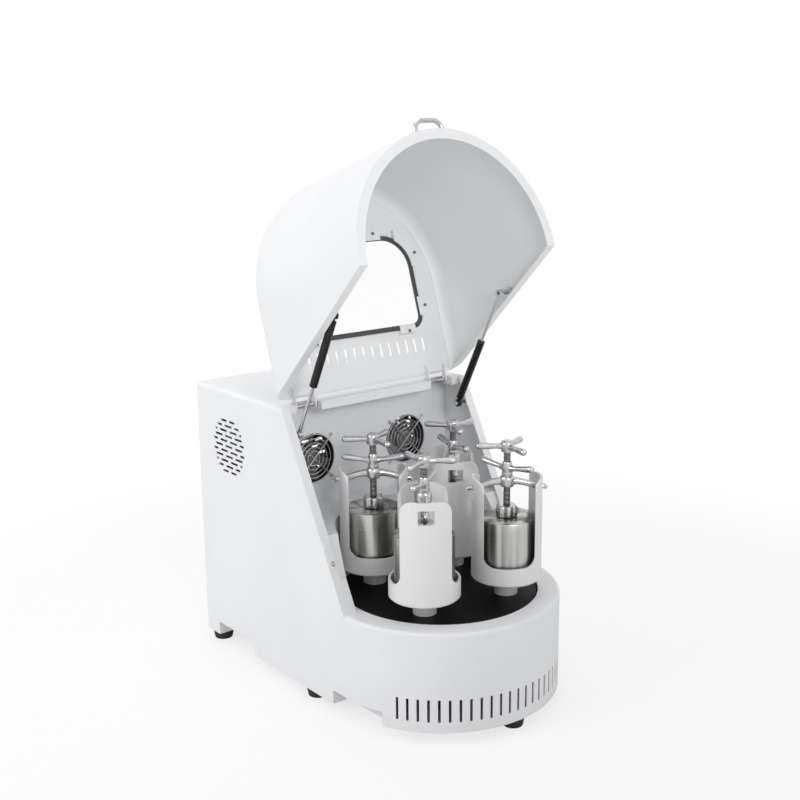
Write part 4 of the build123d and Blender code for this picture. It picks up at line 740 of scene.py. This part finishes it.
for index, name in enumerate(station_names):
    axis = joint_at[f"planet_spin_{name}"]
    planet = f"planet_{name}"
    centre = Vector((axis.x, axis.y, 0))
    heading = radians(carrier_turn + 90 * index + holder_turn)
    ear = Vector((cos(heading), sin(heading), 0))
    finished(f"planet_gear_{name}", planet, ground_steel, 0.0004)
    finished(f"jar_holder_{name}", planet, cup_coat, 0.0008)

    # Jar: turned from bar, with a seam where the lid meets the bowl.
    jar_low, jar_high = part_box(f"grinding_jar_{name}")
    jar_r = (jar_high.x - jar_low.x) / 2
    seam = jar_low.z + jar_seam_height
    jar_profile = [
        (jar_r - 0.0015, jar_low.z),
        (jar_r, jar_low.z + 0.0015),
        (jar_r, seam - jar_groove),
        (jar_r - jar_groove, seam),
        (jar_r, seam + jar_groove),
        (jar_r, jar_high.z - 0.0020),
        (jar_r - 0.0006, jar_high.z - 0.0006),
        (jar_r - 0.0020, jar_high.z),
        (0.030, jar_high.z),
        (0.0295, jar_high.z - 0.0004),
        (0.012, jar_high.z - 0.0004),
    ]
    built(
        f"jar_{name}",
        planet,
        turned_stainless,
        [lathe(jar_profile, centre, turns=128)],
        stands_for=(f"grinding_jar_{name}",),
    )

    # Yoke: a forged bar with a bored hub; its ends hook through the ears.
    _, yoke_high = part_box(f"clamp_yoke_{name}")
    hub_top = yoke_high.z
    hub_profile = [
        (yoke_bore, hub_top - 0.020),
        (0.0125, hub_top - 0.020),
        (0.0145, hub_top - 0.017),
        (0.0150, hub_top - 0.012),
        (0.0142, hub_top - 0.004),
        (0.0128, hub_top - 0.001),
        (0.0118, hub_top),
        (yoke_bore, hub_top),
        (yoke_bore, hub_top - 0.020),
    ]
    solids = [lathe(hub_profile, centre)]
    for way in (-1, 1):
        path = [centre + ear * (way * out) + Vector((0, 0, hub_top + drop)) for out, drop in yoke_route]
        solids.append(tube_along(path, yoke_radii))
    built(
        f"yoke_{name}",
        planet,
        plated_steel,
        solids,
        crease=50,
        stands_for=(f"clamp_yoke_{name}",),
    )

    # Pressure foot: a lobed pad that the screw turns in.
    foot_low, foot_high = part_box(f"pressure_foot_{name}")
    foot_tall = foot_high.z - foot_low.z
    outline = []
    for step in range(foot_steps):
        around = 2 * pi * step / foot_steps
        wave = 0.5 + 0.5 * cos(foot_lobes * around)
        outline.append((around, lobe_in + (lobe_out - lobe_in) * wave ** 0.7))
    levels = [
        (0.80, 0.0),
        (0.86, 0.0),
        (0.98, 0.0012),
        (1.0, 0.003),
        (1.0, foot_tall - 0.004),
        (0.95, foot_tall - 0.0012),
        (0.86, foot_tall),
        (bore_share, foot_tall),
        (bore_share, foot_bore_depth),
    ]
    foot_points = []
    foot_faces = []
    for share, height in levels:
        for around, reach in outline:
            radius = foot_bore if share == bore_share else reach * share
            flat = Vector((radius * cos(around), radius * sin(around), foot_low.z + height))
            foot_points.append(centre + flat)
    for row in range(len(levels) - 1):
        for step in range(foot_steps):
            after = (step + 1) % foot_steps
            low = row * foot_steps
            high = low + foot_steps
            foot_faces.append((low + step, low + after, high + after, high + step))
    foot_faces.append(tuple(range(foot_steps - 1, -1, -1)))
    last = (len(levels) - 1) * foot_steps
    foot_faces.append(tuple(range(last, last + foot_steps)))
    built(
        f"foot_{name}",
        f"foot_{name}",
        plated_steel,
        [(foot_points, foot_faces)],
        crease=40,
        stands_for=(f"pressure_foot_{name}",),
    )

    # Screw with its three armed handle, and the two armed lock nut on it.
    spindle_low, spindle_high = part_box(f"clamp_spindle_{name}")
    arm_z = spindle_high.z - 0.0115
    nut_low = hub_top + 0.0003
    nut_middle = nut_low + 0.014
    handle_profile = [
        (0.0085, arm_z - 0.0115),
        (0.0112, arm_z - 0.0105),
        (0.0122, arm_z - 0.007),
        (0.0125, arm_z),
        (0.0122, arm_z + 0.006),
        (0.0105, arm_z + 0.0098),
        (0.0070, arm_z + 0.0112),
        (0.0025, arm_z + 0.0115),
    ]
    handle = [lathe(handle_profile, centre)]
    for turn in range(3):
        start = centre + Vector((0, 0, arm_z))
        handle.append(bar(start, arm_headings[name] + 120 * turn, 0, bar_reach))
    nut_profile = [
        (0.0071, nut_low),
        (0.0100, nut_low),
        (0.0105, nut_low + 0.001),
        (0.0105, nut_low + 0.006),
        (0.0096, nut_low + 0.008),
        (0.0105, nut_low + 0.011),
        (0.0105, nut_low + 0.018),
        (0.0092, nut_low + 0.022),
        (0.0092, nut_low + 0.0268),
        (0.0084, nut_low + 0.028),
        (0.0071, nut_low + 0.028),
        (0.0071, nut_low),
    ]
    handle.append(lathe(nut_profile, centre))
    for turn in range(2):
        start = centre + Vector((0, 0, nut_middle))
        handle.append(bar(start, nut_headings[name] + 180 * turn, nut_rise, nut_reach))
    built(
        f"handle_{name}",
        f"spindle_{name}",
        plated_steel,
        handle,
        crease=50,
        stands_for=(f"clamp_spindle_{name}",),
    )
    screw_length = arm_z - 0.0115 - spindle_low.z
    helix = Pattern(
        f"screw_thread_{name}",
        Radius=screw_radius - thread_depth,
        Length=screw_length,
        Pitch=thread_pitch,
        Depth=thread_depth,
    )
    turns_made = screw_length / thread_pitch
    spiral = helix.node(
        "GeometryNodeCurveSpiral",
        None,
        {
            "Resolution": 20,
            "Rotations": turns_made,
            "Start Radius": helix.given("Radius"),
            "End Radius": helix.given("Radius"),
            "Height": helix.given("Length"),
        },
    )
    sockets = {"Resolution": 4, "Radius": helix.given("Depth")}
    ridge = helix.node("GeometryNodeCurvePrimitiveCircle", None, sockets)
    sockets = {"Curve": spiral, "Profile Curve": ridge, "Fill Caps": True}
    ridges = helix.node("GeometryNodeCurveToMesh", None, sockets)
    core = helix.node(
        "GeometryNodeMeshCylinder",
        {"fill_type": "NGON"},
        {"Vertices": 24, "Radius": helix.given("Radius"), "Depth": helix.given("Length")},
        out="Mesh",
    )
    core_up = helix.node("GeometryNodeTransform", None, {0: core, "Translation": (0, 0, screw_length / 2)})
    screw_parts = helix.node("GeometryNodeJoinGeometry", None, {0: ridges})
    helix.tree.links.new(core_up, screw_parts.node.inputs[0])
    spot = (centre.x, centre.y, spindle_low.z)
    placed = helix.node("GeometryNodeTransform", None, {0: screw_parts, "Translation": spot})
    helix.bake(placed, dark_thread, f"spindle_{name}")

# ---------------------------------------------------------------- controls
# A grey tray let into the right side carries a display, two push buttons and
# a speed knob. The mains inlet and its rocker switch sit low in the back.
panel = Finish("panel grey")
panel_grey = panel.surface(
    Base_Color=panel.tint(panel.noise(12), (0.105, 0.11, 0.118), (0.125, 0.13, 0.138)),
    Roughness=0.42 + 0.1 * panel.noise(300),
    Normal=panel.bump(panel.noise(600), 0.0002, 0.3),
)
green = Finish("green cap")
green_cap = green.surface(
    Base_Color=green.tint(green.noise(60), (0.015, 0.20, 0.05), (0.02, 0.25, 0.065)),
    Roughness=0.28 + 0.1 * green.noise(200),
)
red = Finish("red cap")
red_cap = red.surface(
    Base_Color=red.tint(red.noise(60), (0.42, 0.015, 0.012), (0.50, 0.02, 0.016)),
    Roughness=0.28 + 0.1 * red.noise(200),
)
finished("control_panel", "cabinet", panel_grey)
glass = Finish("display glass")
display_glass = glass.surface(
    Base_Color=glass.tint(glass.noise(20), (0.010, 0.016, 0.014), (0.014, 0.022, 0.019)),
    Roughness=0.08 + 0.05 * glass.noise(60),
)
scale = Finish("scale white")
scale_white = scale.surface(
    Base_Color=scale.tint(scale.noise(200), (0.74, 0.74, 0.73), (0.80, 0.80, 0.79)),
    Roughness=0.5 + 0.1 * scale.noise(300),
)
dial_at = joint_at["speed_turn"]
along_y = Vector((0, 1, 0))
along_z = Vector((0, 0, 1))
display_width = 0.078
display_height = 0.044
display_thick = 0.0006
display_middle = Vector((0.2252, dial_at.y - 0.063, dial_at.z + 0.055))
display_face = slab(display_middle, along_y, along_z, display_width, display_height, display_thick)
built("display_glass", "cabinet", display_glass, [display_face])
dial_face_x = 0.2231
dial_radius = 0.0195
dial_start = 225
dial_step = 27
mark_length = 0.004
mark_width = 0.0009
mark_thick = 0.0003
marks = []
for step in range(11):
    turn = radians(dial_start - dial_step * step)
    outward = Vector((0, cos(turn), sin(turn)))
    beside = Vector((0, -sin(turn), cos(turn)))
    middle = Vector((dial_face_x, dial_at.y, dial_at.z)) + outward * dial_radius
    marks.append(slab(middle, outward, beside, mark_length, mark_width, mark_thick))
built("dial_scale", "cabinet", scale_white, marks)
finished("start_button", "start_button", green_cap, 0.0008)
finished("stop_button", "stop_button", red_cap, 0.0008)
finished("speed_knob", "speed_knob", black_moulding, 0.0006)
finished("power_inlet", "cabinet", black_moulding, 0.0006)
finished("power_switch", "power_switch", red_cap, 0.0005)

# ---------------------------------------------------------------- hood
# Folded and welded sheet, flat at the sides and rolled at the nose, with the
# top edge pressed round. Its rim is turned in, and slots vent its rear.
finished("lid_shell", "lid", white_coat, 0.0007)
finished("hinge_arms", "lid", white_coat, 0.0005)
finished("window_clips", "lid", white_coat, 0.0005)
finished("window_gasket", "lid", moulded_rubber, 0.0004)
pane = Finish("clear pane")
clear_pane = pane.surface(
    Base_Color=pane.tint(pane.noise(8), (0.86, 0.90, 0.92), (0.92, 0.95, 0.96)),
    Roughness=0.03 + 0.03 * pane.noise(30),
    Alpha=0.06,
    Specular_IOR_Level=0.4,
)
finished("lid_window", "lid", clear_pane, 0.0005)
finished("lid_handle", "lid", plated_steel, 0.0004, 60)
hinge_line = joint_at["lid_hinge"]
open_turn = radians(107.66)
lid_back = Vector((0, cos(open_turn), -sin(open_turn)))
lid_upward = Vector((0, sin(open_turn), cos(open_turn)))
clip_screw_places = ((0.1725, -0.1628), (0.118, -0.1133), (0.073, -0.3238), (0.1725, -0.2763))
clip_screw_drop = 0.0079
clip_screw_radius = 0.0034
clip_screws = []
for across in (-1, 1):
    for out, back in clip_screw_places:
        beside = Vector((across * out, hinge_line.y, hinge_line.z))
        clip_screws.append((beside + lid_back * back - lid_upward * clip_screw_drop, -lid_upward))
screws("window_clip_screws", "lid", clip_screws, clip_screw_radius, material=dark_thread)

# ---------------------------------------------------------------- struts and pins
# Two gas struts: a black painted tube and a chromed rod with forged eyes,
# which turn on studs in the cabinet's sides and the hood's.
painted = Finish("strut paint")
strut_paint = painted.surface(
    Base_Color=painted.tint(painted.noise(50), (0.004, 0.004, 0.005), (0.009, 0.009, 0.010)),
    Roughness=0.22 + 0.12 * painted.noise(120),
    Specular_IOR_Level=0.35,
)
finished("pivot_pins", "cabinet", plated_steel, 0.0005)
finished("strut_lid_studs", "lid", plated_steel, 0.0005)
for hand in ("left", "right"):
    finished(f"strut_rod_{hand}", f"strut_rod_{hand}", plated_steel, 0.0005)
    finished(f"strut_tube_{hand}", f"strut_tube_{hand}", strut_paint, 0.0008)

bpy.context.view_layer.update()
